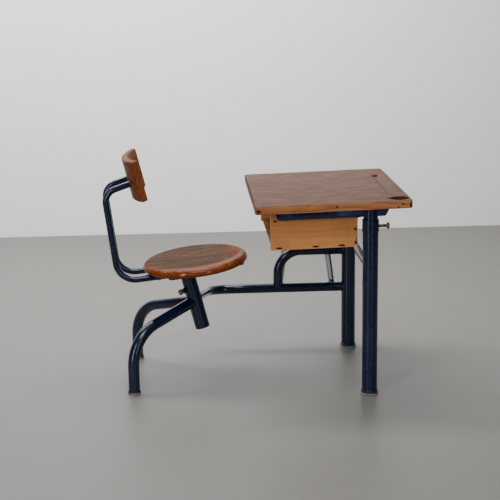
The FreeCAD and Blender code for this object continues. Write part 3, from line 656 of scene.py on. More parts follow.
    def _fibre(self, tree: bpy.types.NodeTree, place: bpy.types.NodeSocket,
               stave: bpy.types.NodeSocket | None) -> bpy.types.NodeSocket:
        """Long fibres: noise drawn out along the grain, and other noise on each stave.

        Args:
            tree: the material's node tree.
            place: the point, with the grain along X.
            stave: level of each stave, where there are staves.

        Returns:
            Level of the fibres.
        """
        along = add_node(tree, "ShaderNodeMapping", inputs={
            "Vector": place, "Scale": (self.fibre_squeeze, 1.0, 1.0)})
        seed = 0.0
        if stave:
            seed = add_node(tree, "ShaderNodeMath", {"operation": "MULTIPLY"}, {0: stave, 1: 40.0}).outputs[0]
        return add_node(tree, "ShaderNodeTexNoise", {"noise_dimensions": "4D"}, {
            "Vector": along.outputs["Vector"], "Scale": 1 / (self.fibre_mm * MM), "Detail": 6.0,
            "Roughness": 0.62, "W": seed}).outputs["Fac"]

    def _rings(self, tree: bpy.types.NodeTree, place: bpy.types.NodeSocket,
               stave: bpy.types.NodeSocket | None) -> bpy.types.NodeSocket:
        """Growth rings round a pith that lies below the board, bent slowly along the grain.

        Args:
            tree: the material's node tree.
            place: the point, with the grain along X.
            stave: level of each stave, where there are staves.

        Returns:
            Level of the rings.
        """
        slow = add_node(tree, "ShaderNodeMapping", inputs={
            "Vector": place, "Scale": (self.bend_squeeze, 1.0, 1.0)})
        bend = add_node(tree, "ShaderNodeTexNoise", inputs={
            "Vector": slow.outputs["Vector"], "Scale": 1 / (self.bend_mm * MM), "Detail": 2.0})
        bent = add_node(tree, "ShaderNodeVectorMath", {"operation": "MULTIPLY_ADD"}, {
            0: bend.outputs["Color"], 1: (0.0, self.bend_depth, self.bend_depth), 2: place}).outputs["Vector"]
        if stave:
            apart, depth = self.stave_pith
            push = add_node(tree, "ShaderNodeCombineXYZ", inputs={"Y": stave, "Z": depth})
            moved = add_node(tree, "ShaderNodeVectorMath", {"operation": "MULTIPLY_ADD"}, {
                0: push.outputs["Vector"], 1: (0.0, apart, 1.0), 2: bent})
        else:
            moved = add_node(tree, "ShaderNodeVectorMath", {"operation": "ADD"}, {0: bent, 1: self.pith})
        return add_node(tree, "ShaderNodeTexWave", {
            "wave_type": "RINGS", "rings_direction": "X", "wave_profile": "SAW"}, {
            "Vector": moved.outputs["Vector"], "Scale": WAVE_PERIOD / (self.ring_mm * MM), "Distortion": 1.2,
            "Detail": 2.0, "Detail Scale": 1.4}).outputs["Fac"]

    def _pores(self, tree: bpy.types.NodeTree, place: bpy.types.NodeSocket) -> bpy.types.NodeSocket:
        """Short open pores along the grain, filled with old polish.

        Args:
            tree: the material's node tree.
            place: the point, with the grain along X.

        Returns:
            How far a pore shows.
        """
        along = add_node(tree, "ShaderNodeMapping", inputs={
            "Vector": place, "Scale": (self.pore_squeeze, 1.0, 1.0)})
        noise = add_node(tree, "ShaderNodeTexNoise", inputs={
            "Vector": along.outputs["Vector"], "Scale": 1 / (self.pore_mm * MM), "Detail": 1.0})
        return add_node(tree, "ShaderNodeMapRange", inputs={
            "Value": noise.outputs["Fac"], "From Min": 0.62, "From Max": 0.74,
            "To Min": 0.0, "To Max": 0.55}).outputs["Result"]

    def _stains(self, tree: bpy.types.NodeTree, place: bpy.types.NodeSocket) -> bpy.types.NodeSocket:
        """Soft patches of handling dirt.

        Args:
            tree: the material's node tree.
            place: the point.

        Returns:
            How far the dirt shows.
        """
        noise = add_node(tree, "ShaderNodeTexNoise", inputs={
            "Vector": place, "Scale": 1 / (self.stain_mm * MM), "Detail": 8.0, "Roughness": 0.62})
        return add_node(tree, "ShaderNodeMapRange", inputs={
            "Value": noise.outputs["Fac"], "From Min": 0.5, "From Max": 0.78,
            "To Min": 0.0, "To Max": 0.6}).outputs["Result"]

    def _worn(self, tree: bpy.types.NodeTree, coords: bpy.types.Node,
              place: bpy.types.NodeSocket) -> bpy.types.NodeSocket:
        """Upper faces lose their varnish, in patches, and a round seat only where it is sat on.

        Args:
            tree: the material's node tree.
            coords: the node that gives the face's normal.
            place: the point.

        Returns:
            How far the varnish has gone.
        """
        up = add_node(tree, "ShaderNodeSeparateXYZ", inputs={0: coords.outputs["Normal"]}).outputs["Z"]
        face = add_node(tree, "ShaderNodeMapRange", inputs={
            "Value": up, "From Min": 0.3, "From Max": self.worn_to, "To Min": 0.0,
            "To Max": self.worn_share})
        patch = add_node(tree, "ShaderNodeTexNoise", inputs={
            "Vector": place, "Scale": 1 / (self.worn_patch_mm * MM), "Detail": 5.0, "Roughness": 0.55})
        level = add_node(tree, "ShaderNodeMapRange", inputs={
            "Value": patch.outputs["Fac"], "From Min": 0.3, "From Max": 0.6, "To Min": 0.88, "To Max": 1.0})
        worn = add_node(tree, "ShaderNodeMath", {"operation": "MULTIPLY"}, {
            0: face.outputs["Result"], 1: level.outputs["Result"]}).outputs["Value"]
        if not self.worn_radius:
            return worn
        shifted = add_node(tree, "ShaderNodeVectorMath", {"operation": "SUBTRACT"}, {
            0: place, 1: self.worn_shift})
        flat = add_node(tree, "ShaderNodeVectorMath", {"operation": "MULTIPLY"}, {
            0: shifted.outputs["Vector"], 1: (1.0, 1.0, 0.0)})
        reach = add_node(tree, "ShaderNodeVectorMath", {"operation": "LENGTH"}, {0: flat.outputs["Vector"]})
        sat_on = add_node(tree, "ShaderNodeMapRange", inputs={
            "Value": reach.outputs["Value"], "From Min": 0.68 * self.worn_radius,
            "From Max": self.worn_radius, "To Min": 1.0, "To Max": 0.25})
        return add_node(tree, "ShaderNodeMath", {"operation": "MULTIPLY"}, {
            0: worn, 1: sat_on.outputs["Result"]}).outputs["Value"]

    def _bare(self, tree: bpy.types.NodeTree, place: bpy.types.NodeSocket,
              fibre: bpy.types.NodeSocket) -> bpy.types.NodeSocket:
        """Wood without its varnish: fibres that stand out, with cloudy patches.

        Args:
            tree: the material's node tree.
            place: the point, with the grain along X.
            fibre: level of the fibres.

        Returns:
            Colour of the bare wood.
        """
        along = add_node(tree, "ShaderNodeMapping", inputs={
            "Vector": place, "Scale": (self.patch_mm / self.patch_length_mm, 1.0, 1.0)})
        patch = add_node(tree, "ShaderNodeTexNoise", inputs={
            "Vector": along.outputs["Vector"], "Scale": 1 / (self.patch_mm * MM), "Detail": 8.0,
            "Roughness": 0.65})
        tone = add_node(tree, "ShaderNodeMix", {"data_type": "FLOAT"}, {
            0: 0.5, 2: fibre, 3: patch.outputs["Fac"]}).outputs[0]
        ramp = add_node(tree, "ShaderNodeValToRGB", inputs={"Fac": tone})
        set_ramp(ramp, [(0.4, linear(self.worn_dark)), (0.6, linear(self.worn_light))])
        return ramp.outputs["Color"]

    def _marked(self, tree: bpy.types.NodeTree, coords: bpy.types.Node) -> bpy.types.NodeSocket:
        """Soft-edged oval marks at fixed places.

        Args:
            tree: the material's node tree.
            coords: the node that gives the point.

        Returns:
            How far the marks hide the wood.
        """
        total = None
        for mark in self.marks:
            away = add_node(tree, "ShaderNodeVectorMath", {"operation": "SUBTRACT"}, {
                0: coords.outputs["Object"], 1: mark.place})
            reach = add_node(tree, "ShaderNodeVectorMath", {"operation": "DIVIDE"}, {
                0: away.outputs["Vector"], 1: mark.half})
            length = add_node(tree, "ShaderNodeVectorMath", {"operation": "LENGTH"}, {
                0: reach.outputs["Vector"]})
            spot = add_node(tree, "ShaderNodeMapRange", inputs={
                "Value": length.outputs["Value"], "From Min": self.mark_edge, "From Max": 1.0,
                "To Min": mark.share, "To Max": 0.0}).outputs["Result"]
            if total:
                spot = add_node(tree, "ShaderNodeMath", {"operation": "MAXIMUM"}, {
                    0: total, 1: spot}).outputs["Value"]
            total = spot
        return total


@dataclass(frozen=True)
class StudioPaint:
    """Matt emulsion on a studio's floor or wall.

    Attributes:
        one_sided: whether the sheet is clear from behind, so that it hides nothing.
    """

    name: str
    colour: str
    roughness: float
    one_sided: bool = False

    def material(self) -> bpy.types.Material:
        """Build the paint.

        Returns:
            Its material.
        """
        material, tree, shader = new_finish(self.name)
        feed(shader, {"Base Color": linear(self.colour), "Roughness": self.roughness})
        if self.one_sided:
            behind = add_node(tree, "ShaderNodeNewGeometry").outputs["Backfacing"]
            clear = add_node(tree, "ShaderNodeBsdfTransparent").outputs["BSDF"]
            sheet = add_node(tree, "ShaderNodeMixShader", inputs={
                0: behind, 1: shader.outputs["BSDF"], 2: clear}).outputs["Shader"]
            feed(tree.nodes["Material Output"], {"Surface": sheet})
        return material


# ---- Shapes shared by the sub-assemblies ----

@dataclass(frozen=True)
class Tube:
    """A round tube.

    Attributes:
        point: a point on its axis.
        way: the way it runs.
        radius: its outer radius, in metres.
    """

    point: Vector
    way: Vector
    radius: float


def meeting_loop(tube: Tube, host: Tube, steps: int) -> list[Vector]:
    """Where one tube's outer face meets another's.

    Args:
        tube: the tube that ends on the host, running away from it.
        host: the tube that it is welded to.
        steps: points round the loop.

    Returns:
        The points of the closed loop, in order.
    """
    way = tube.way.normalized()
    across = way.cross(host.way).normalized()
    over = across.cross(way)
    host_way = host.way.normalized()
    points = []
    for step in range(steps):
        turn = 2 * math.pi * step / steps
        start = tube.point + tube.radius * (math.cos(turn) * across + math.sin(turn) * over)
        offset = start - host.point
        flat_way = way - way.dot(host_way) * host_way
        flat_offset = offset - offset.dot(host_way) * host_way
        square = flat_way.length_squared
        half = flat_way.dot(flat_offset)
        rest = flat_offset.length_squared - host.radius ** 2
        reach = (-half + math.sqrt(max(half * half - square * rest, 0.0))) / square
        points.append(start + way * reach)
    return points


def bead(name: str, points: Sequence[Vector], radius: float, ripple: float, closed: bool) -> bpy.types.Object:
    """A weld bead: a round cord of metal along a line, with the ripple of its laid drops.

    Args:
        name: the piece's name.
        points: the bead's line.
        radius: half its thickness.
        ripple: how much thinner it is between drops, as a share.
        closed: whether the line is a loop.

    Returns:
        The bead as a mesh at the origin.
    """
    deselect_all()
    bpy.ops.curve.primitive_nurbs_path_add()
    cord = name_new(name)
    curve = cord.data
    curve.splines.clear()
    spline = curve.splines.new("POLY")
    spline.points.add(len(points) - 1)
    for place, (slot, point) in enumerate(zip(spline.points, points)):
        slot.co = (*point, 1.0)
        slot.radius = 1.0 - ripple * (place % 2)
    spline.use_cyclic_u = closed
    curve.bevel_depth = radius
    curve.bevel_resolution = 2
    curve.use_fill_caps = not closed
    make_active(cord)
    bpy.ops.object.convert(target="MESH")
    settle(cord)
    smooth(cord, 70.0)
    return cord


# ---- Sub-assemblies ----

@dataclass
class BaseFrame:
    """The fixed frame: posts, beam, brace, hoop, column and legs, with the welds that join them.

    Attributes:
        bead_radius, bead_pitch: half a bead's thickness, and the length of each laid drop.
        collar_bead: how thick the beads under the collars are, as a share of the others.
        ripple: how much thinner a bead is between drops, as a share.
        column_radius, beam_radius, leg_radius: outer radii of the tubes.
        brace_height: where the brace meets the left post.
        hoop_foot_bead: how long the beads down the hoop's feet are.
        hoop_seam: where they lie, from the middle of the rod, as a share of its radius.
        hoop_lift: how far they stand off the beam, as a share of their own radius.
        joint_reach: how near to its host's skin a tube's own skin belongs to their joint, in its own radii.
        joint_way: the way that the tubes are taken to run from the column, straight across the desk. They
            run at a slant, so the beads at the column lie beside their joints.
        painted, feet: the frame's nodes by their finish.
    """

    bead_radius: float = 2.2 * MM
    bead_pitch: float = 2.2 * MM
    collar_bead: float = 0.55
    ripple: float = 0.16
    column_radius: float = 23.5 * MM
    beam_radius: float = 16.0 * MM
    leg_radius: float = 17.5 * MM
    brace_height: float = 0.3415
    hoop_foot_bead: float = 12.0 * MM
    hoop_seam: float = 0.45
    hoop_lift: float = 0.4
    joint_reach: float = 0.2
    joint_way: tuple[float, float, float] = (0.0, 1.0, 0.0)
    painted: tuple[str, ...] = (
        "right_post", "left_post", "right_collar", "left_collar", "cross_tube", "side_beam", "brace_tube",
        "seat_column", "seat_clamp_nut", "right_seat_leg", "left_seat_leg")
    feet: tuple[str, ...] = ("right_post_foot", "left_post_foot", "right_leg_foot", "left_leg_foot")

    def build(self) -> bpy.types.Object:
        """Lay the frame's welds.

        Returns:
            All the beads as one piece.
        """
        beads = self.post_welds() + self.brace_welds() + self.column_welds() + self.collar_welds()
        return join(beads, "frame_welds")

    def dress(self, welds: bpy.types.Object, enamel: bpy.types.Material, rod: bpy.types.Material,
              foot: bpy.types.Material) -> None:
        """Dress the frame's nodes and its welds.

        Args:
            welds: the beads.
            enamel: finish of the painted tubes and the beads.
            rod: finish of the polished hoop.
            foot: finish of the foot caps.
        """
        dress_nodes(self.painted, enamel)
        dress_nodes(["satchel_hoop"], rod)
        dress_nodes(self.feet, foot)
        hand_over(welds, "frame", enamel)

    def post(self, side: str) -> Tube:
        """Find the post on one side.

        Args:
            side: "left" or "right".

        Returns:
            The post as a tube.
        """
        low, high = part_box(side + "_post")
        centre = (low + high) / 2
        return Tube(centre, Vector((0, 0, 1)), (high.x - low.x) / 2)

    def ring(self, name: str, tube: Tube, host: Tube) -> bpy.types.Object:
        """Lay a bead all round a tube where it meets its host.

        Args:
            name: the bead's name.
            tube: the tube that ends on the host.
            host: the tube that it is welded to.

        Returns:
            The bead.
        """
        steps = 2 * int(math.pi * tube.radius / self.bead_pitch)
        points = meeting_loop(tube, host, steps)
        return bead(name, points, self.bead_radius, self.ripple, True)

    def post_welds(self) -> list[bpy.types.Object]:
        """Weld the cross tube, the beam and the brace to the posts.

        Returns:
            Their beads.
        """
        cross_low, cross_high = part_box("cross_tube")
        beam_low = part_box("side_beam")[0]
        left, right = self.post("left"), self.post("right")
        cross_z = (cross_low.z + cross_high.z) / 2
        beam_z = beam_low.z + self.beam_radius
        welds = []
        for post, way in ((left, Vector((0, -1, 0))), (right, Vector((0, 1, 0)))):
            tube = Tube(Vector((post.point.x, post.point.y, cross_z)), way, self.beam_radius)
            welds.append(self.ring("cross_weld", tube, post))
        for height in (beam_z, self.brace_height):
            tube = Tube(Vector((left.point.x, left.point.y, height)), Vector((-1, 0, 0)), self.beam_radius)
            welds.append(self.ring("post_weld", tube, left))
        return welds

    def brace_welds(self) -> list[bpy.types.Object]:
        """Weld the brace and the hoop to the beam.

        Returns:
            Their beads.
        """
        beam_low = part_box("side_beam")[0]
        brace_low, brace_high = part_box("brace_tube")
        y = (brace_low.y + brace_high.y) / 2
        beam = Tube(Vector((0, y, beam_low.z + self.beam_radius)), Vector((1, 0, 0)), self.beam_radius)
        foot = Tube(Vector((brace_low.x + self.beam_radius, y, beam.point.z)), Vector((0, 0, 1)),
                    self.beam_radius * INSET)
        welds = [self.ring("brace_weld", foot, beam)]
        return welds + self.hoop_welds(y, beam.point.z)

    def hoop_welds(self, beam_y: float, beam_z: float) -> list[bpy.types.Object]:
        """Weld both sides of the hoop's feet, where they lie against the beam.

        Args:
            beam_y: where the beam's axis lies across the desk.
            beam_z: how high it lies.

        Returns:
            Their short beads.
        """
        low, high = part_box("satchel_hoop")
        rod_radius = (high.y - low.y) / 2
        seam_y = beam_y + self.beam_radius + self.hoop_lift * self.bead_radius
        count = int(self.hoop_foot_bead / self.bead_pitch)
        welds = []
        for middle in (low.x + rod_radius, high.x - rod_radius):
            for side in (-1, 1):
                seam_x = middle + side * (self.hoop_seam * rod_radius)
                points = [Vector((seam_x, seam_y, beam_z + self.bead_pitch * (step - count / 2)))
                          for step in range(count + 1)]
                welds.append(bead("hoop_weld", points, self.bead_radius, self.ripple, False))
        return welds

    def column(self) -> Tube:
        """Find the seat's leaning column.

        Returns:
            The column as a tube.
        """
        low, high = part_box("seat_column")
        axis = Vector((-math.sin(COLUMN_LEAN), 0, math.cos(COLUMN_LEAN)))
        return Tube((low + high) / 2, axis, self.column_radius)

    def column_welds(self) -> list[bpy.types.Object]:
        """Weld the beam and the legs to the seat's column.

        Returns:
            Their beads.
        """
        column = self.column()
        welds = []
        for name, radius in (("left_seat_leg", self.leg_radius), ("right_seat_leg", self.leg_radius),
                             ("side_beam", self.beam_radius)):
            tube = self.tube_near(name, column, radius)
            welds.append(self.ring(name + "_weld", tube, column))
        return welds

    def tube_near(self, name: str, host: Tube, radius: float) -> Tube:
        """Find where a node meets its host, from its skin.

        Args:
            name: the node.
            host: the tube that it ends on.
            radius: the node's outer radius.

        Returns:
            A tube through that place, run straight across the desk.
        """
        skin = [vertex.co.copy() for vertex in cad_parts[name].data.vertices]
        host_way = host.way.normalized()

        def clearance(point: Vector) -> float:
            """How far a point is from the host's axis."""
            offset = point - host.point
            return (offset - offset.dot(host_way) * host_way).length

        near = [point for point in skin if clearance(point) < host.radius + self.joint_reach * radius]
        middle = sum(near, Vector()) / len(near)
        way = Vector(self.joint_way)
        start = middle - way * clearance(middle)
        return Tube(start, way, radius * INSET)

    def collar_welds(self) -> list[bpy.types.Object]:
        """Weld the collars to the posts, from below.

        Returns:
            Their beads.
        """
        welds = []
        for side in ("left", "right"):
            post = self.post(side)
            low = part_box(side + "_collar")[0].z
            steps = 2 * int(math.pi * post.radius / self.bead_pitch)
            turns = [2 * math.pi * step / steps for step in range(steps)]
            points = [Vector((post.point.x + post.radius * math.cos(turn),
                              post.point.y + post.radius * math.sin(turn), low)) for turn in turns]
            radius = self.bead_radius * self.collar_bead
            welds.append(bead(side + "_collar_weld", points, radius, self.ripple, True))
        return welds


@dataclass
class ClampBolts:
    """The three hexagon-head bolts, with the thread that shows between the head and the tube.

    Attributes:
        thread_pitch, thread_depth, shank_radius: the thread's sizes.
        head_flats, head_height: the head's width across its flats, and its height.
        head_seat: how far the shank runs on into the head.
        chamfer: how far the top's corners are turned off.
        tip_taper, edge_round: how far the tip is tapered, and how far the head's edges are rounded.
        cone_flare, cone_height: the cone that turns the corners off: its foot's radius as a share of the
            head's corner, and its height as a share of the head's.
        seat_clamp_turn: how far the seat's bolt is turned about the column, from straight ahead.
        facets: sides of the round shank.
    """

    thread_pitch: float = 1.5 * MM
    thread_depth: float = 0.75 * MM
    shank_radius: float = 5.0 * MM
    head_flats: float = 17.0 * MM
    head_height: float = 6.4 * MM
    head_seat: float = 0.5 * MM
    chamfer: float = 1.35 * MM
    tip_taper: float = 1.2 * MM
    edge_round: float = 0.25 * MM
    cone_flare: float = 1.45
    cone_height: float = 1.02
    seat_clamp_turn: float = math.radians(30.0)
    facets: int = 32

    def build(self) -> dict[str, bpy.types.Object]:
        """Make each bolt where its node lies.

        Returns:
            For each bolt's body, the new piece.
        """
        bolts = {}
        for side in ("right", "left"):
            low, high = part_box(side + "_clamp_bolt")
            tip = Vector((low.x, (low.y + high.y) / 2, (low.z + high.z) / 2))
            bolts[side + "_clamp"] = self.bolt(side + "_clamp_bolt", tip, Vector((1, 0, 0)), high.x - low.x)
        way = self.seat_clamp_way()
        skin = [vertex.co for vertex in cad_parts["seat_clamp_bolt"].data.vertices]
        heights = [point.dot(way) for point in skin]
        crown_height = max(heights) - self.head_height / 6
        crown = [point for point, height in zip(skin, heights) if height > crown_height]
        middle = sum(crown, Vector()) / len(crown)
        length = max(heights) - min(heights)
        tip = middle + way * (min(heights) - middle.dot(way))
        bolts["seat_clamp"] = self.bolt("seat_clamp_bolt", tip, way, length)
        return bolts

    def dress(self, bolts: dict[str, bpy.types.Object], steel: bpy.types.Material) -> None:
        """Give the bolts their finish and let each stand for its node.

        Args:
            bolts: for each body, its bolt.
            steel: their finish.
        """
        for body, piece in bolts.items():
            hand_over(piece, body, steel, [body + "_bolt"])

    def seat_clamp_way(self) -> Vector:
        """Find which way the seat's clamp bolt points.

        Returns:
            The way from its tip to its head.
        """
        axis = Vector((-math.sin(COLUMN_LEAN), 0, math.cos(COLUMN_LEAN)))
        return Matrix.Rotation(self.seat_clamp_turn, 3, axis) @ Vector(
            (-math.cos(COLUMN_LEAN), 0, -math.sin(COLUMN_LEAN)))

    def bolt(self, node: str, tip: Vector, way: Vector, length: float) -> bpy.types.Object:
        """Make one bolt.

        Args:
            node: the node that it stands for.
            tip: the middle of its tip.
            way: from the tip to the head.
            length: from the tip to the top of the head.

        Returns:
            The bolt as a mesh at the origin.
        """
        piece = join([self.shank(length - self.head_height), self.head(length)], node + "_threaded")
        piece.matrix_world = Matrix.Translation(tip) @ way.to_track_quat("Z", "Y").to_matrix().to_4x4()
        settle(piece)
        smooth(piece, 32.0)
        return piece

    def shank(self, length: float) -> bpy.types.Object:
        """The threaded shank, spun from its toothed outline.

        Args:
            length: from the tip to the head.

        Returns:
            The shank along Z, tip at the origin.
        """
        outline = [(self.shank_radius - self.tip_taper, 0.0)]
        teeth = int((length - self.tip_taper) / self.thread_pitch)
        for tooth in range(teeth):
            foot = self.tip_taper + tooth * self.thread_pitch
            outline.append((self.shank_radius - self.thread_depth, foot))
            outline.append((self.shank_radius, foot + 0.5 * self.thread_pitch))
        outline.append((self.shank_radius - self.thread_depth, length + self.head_seat))
        deselect_all()
        bpy.ops.mesh.primitive_circle_add(vertices=self.facets, radius=outline[0][0], fill_type="NGON")
        piece = name_new("shank")
        bpy.ops.object.mode_set(mode="EDIT")
        for (radius, height), (last_radius, last_height) in zip(outline[1:], outline):
            bpy.ops.mesh.extrude_region_move(TRANSFORM_OT_translate={"value": (0, 0, height - last_height)})
            share = radius / last_radius
            bpy.ops.transform.resize(value=(share, share, 1.0), center_override=(0, 0, height))
        bpy.ops.mesh.select_all(action="SELECT")
        bpy.ops.mesh.normals_make_consistent(inside=False)
        bpy.ops.object.mode_set(mode="OBJECT")
        return piece

    def head(self, length: float) -> bpy.types.Object:
        """The hexagon head, with its corners turned off.

        Args:
            length: from the tip to the top of the head.

        Returns:
            The head along Z, in its place over the shank.
        """
        corner = self.head_flats / 2 / math.cos(math.pi / 6)
        middle = (0, 0, length - self.head_height / 2)
        deselect_all()
        bpy.ops.mesh.primitive_cylinder_add(vertices=6, radius=corner, depth=self.head_height,
                                            location=middle)
        piece = name_new("head")
        settle(piece)
        bpy.ops.mesh.primitive_cone_add(
            vertices=48, radius1=corner * self.cone_flare, radius2=corner - self.chamfer,
            depth=self.head_height * self.cone_height, location=middle)
        turned = name_new("turned")
        settle(turned)
        apply_modifier(piece, "BOOLEAN", {"operation": "INTERSECT", "object": turned, "solver": "EXACT"})
        bpy.data.objects.remove(turned)
        apply_modifier(piece, "BEVEL", {"width": self.edge_round, "segments": 2, "limit_method": "ANGLE"})
        return piece


@dataclass
class DeskTop:
    """The sliding top: board, rails, inner tubes and the book box.

    Attributes:
        painted: the steel nodes.
        edge_knots_and_corner_shade: knots and nicks along the board's right edge, and painted shade on its
            rounded near-left corner.
        inkwell_shade: painted shade on the rim and the wall of the inkwell hole, and in the small hole beside
            it.
        groove_end_shade: painted shade on the far end wall of the pencil groove.
        long_edge_lines: dark lines along the board's two long edges.
        tenon_slot_shade, box_nails: painted shade in the slots where the bottom's tenons come through, and
            the nail holes in the box's right side.
    """

    painted: tuple[str, ...] = ("right_desk_rail", "left_desk_rail", "right_desk_stem", "left_desk_stem")
    edge_knots_and_corner_shade: tuple[Mark, ...] = (
        Mark((0.2376, -0.3, 0.5925), (0.0035, 0.004, 0.0035)),
        Mark((0.418, -0.3, 0.5881), (0.003, 0.004, 0.004)),
        Mark((0.4326, -0.3, 0.5966), (0.004, 0.004, 0.003)),
        # This one is painted shade on the board's rounded near-left corner.
        Mark((0.006, -0.3, 0.583), (0.011, 0.004, 0.006)),
        Mark((0.4555, -0.3, 0.5931), (0.004, 0.005, 0.01)))
    # Painted shade: the inkwell hole's rim and wall, and the small pin hole beside it, drawn dark.
    inkwell_shade: tuple[Mark, ...] = (
        Mark((0.4287, -0.258, 0.6066), (0.033, 0.033, 0.006)),
        Mark((0.4287, -0.258, 0.594), (0.036, 0.036, 0.024), 0.85),
        Mark((0.3968, -0.2553, 0.6063), (0.005, 0.011, 0.004)))
    # Painted shade on the far end wall of the pencil groove.
    groove_end_shade: tuple[Mark, ...] = (Mark((0.4229, 0.1758, 0.6), (0.012, 0.014, 0.012)),)
    long_edge_lines: tuple[Mark, ...] = (
        Mark((0.463, 0.0, 0.607), (0.0045, 0.4, 0.008)),
        Mark((-0.003, 0.0, 0.595), (0.005, 0.4, 0.012)))
    # Painted shade in the slots where the bottom's tenons come through the box's near side.
    tenon_slot_shade: tuple[Mark, ...] = (
        Mark((0.0744, -0.2265, 0.4569), (0.0105, 0.004, 0.0034)),
        Mark((0.184, -0.2265, 0.4595), (0.0105, 0.004, 0.0034)),
        Mark((0.2623, -0.2265, 0.4614), (0.0105, 0.004, 0.0034)))
    box_nails: tuple[Mark, ...] = (
        Mark((0.3027, -0.227, 0.5103), (0.006, 0.003, 0.005)),
        Mark((0.304, -0.227, 0.469), (0.005, 0.003, 0.006)),
        Mark((0.062, -0.227, 0.539), (0.005, 0.003, 0.004)))

    def top_marks(self) -> tuple[Mark, ...]:
        """All the marks on the board: knots, nicks and edge lines, with painted shade in its holes, its
        groove and its near-left corner.
        """
        return self.edge_knots_and_corner_shade + self.inkwell_shade + self.groove_end_shade + self.long_edge_lines

    def dress(self, enamel: bpy.types.Material, top: bpy.types.Material, sides: bpy.types.Material,
              panels: bpy.types.Material, screws: bpy.types.Material) -> None:
        """Dress the top's nodes.

        Args:
            enamel: finish of the steel tubes.
            top: the board's wood.
            sides: wood of the box's sides and battens.
            panels: wood of the thin bottom and back.
            screws: the wood screws' steel.
        """
        dress_nodes(self.painted, enamel)
        dress_nodes(["tabletop"], top)
        dress_nodes(["right_box_side", "left_box_side", "right_batten", "left_batten"], sides)
        dress_nodes(["box_bottom", "box_back"], panels)
        dress_nodes(["rail_screws", "batten_screws"], screws)


@dataclass
class SeatUnit:
    """The turning seat: hub, plate, back tubes, round seat and curved backrest.

    Attributes:
        painted: the steel nodes.
        worn_radius: how far from its middle the seat is worn dull.
        worn_shift: from the seat's middle to that of the wear, in metres.
    """

    painted: tuple[str, ...] = ("seat_hub", "seat_plate", "right_back_tube", "left_back_tube", "seat_stem")
    worn_radius: float = 0.172
    worn_shift: tuple[float, float, float] = (-0.02, 0.036, 0.0)

    def middle(self) -> tuple[float, float, float]:
        """The middle of the round seat."""
        low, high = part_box("seat_board")
        return tuple((low + high) / 2)

    def dress(self, enamel: bpy.types.Material, seat: bpy.types.Material, back: bpy.types.Material,
              screws: bpy.types.Material) -> None:
        """Dress the seat's nodes.

        Args:
            enamel: finish of the steel parts.
            seat: the round seat's wood.
            back: the backrest's wood.
            screws: the wood screws' steel.
        """
        dress_nodes(self.painted, enamel)
        dress_nodes(["seat_board"], seat)
        dress_nodes(["backrest"], back)
        dress_nodes(["seat_screws"], screws)


@dataclass(frozen=True)
class SoftBox:
    """A soft box that hangs in the studio.

    Attributes:
        place: where it hangs.
        aim: the point that it faces.
        size: its width and height.
        power: its power in watts.
    """

    name: str
    place: tuple[float, float, float]
    aim: tuple[float, float, float]
    size: tuple[float, float]
    power: float

    def build(self) -> None:
        """Hang the soft box."""
        deselect_all()
        bpy.ops.object.light_add(type="AREA", location=self.place)
        lamp = name_new(self.name)
        lamp.data.shape = "RECTANGLE"
        lamp.data.size, lamp.data.size_y = self.size
        lamp.data.energy = self.power
        way = Vector(self.aim) - Vector(self.place)
        lamp.rotation_euler = way.to_track_quat("-Z", "Y").to_euler()


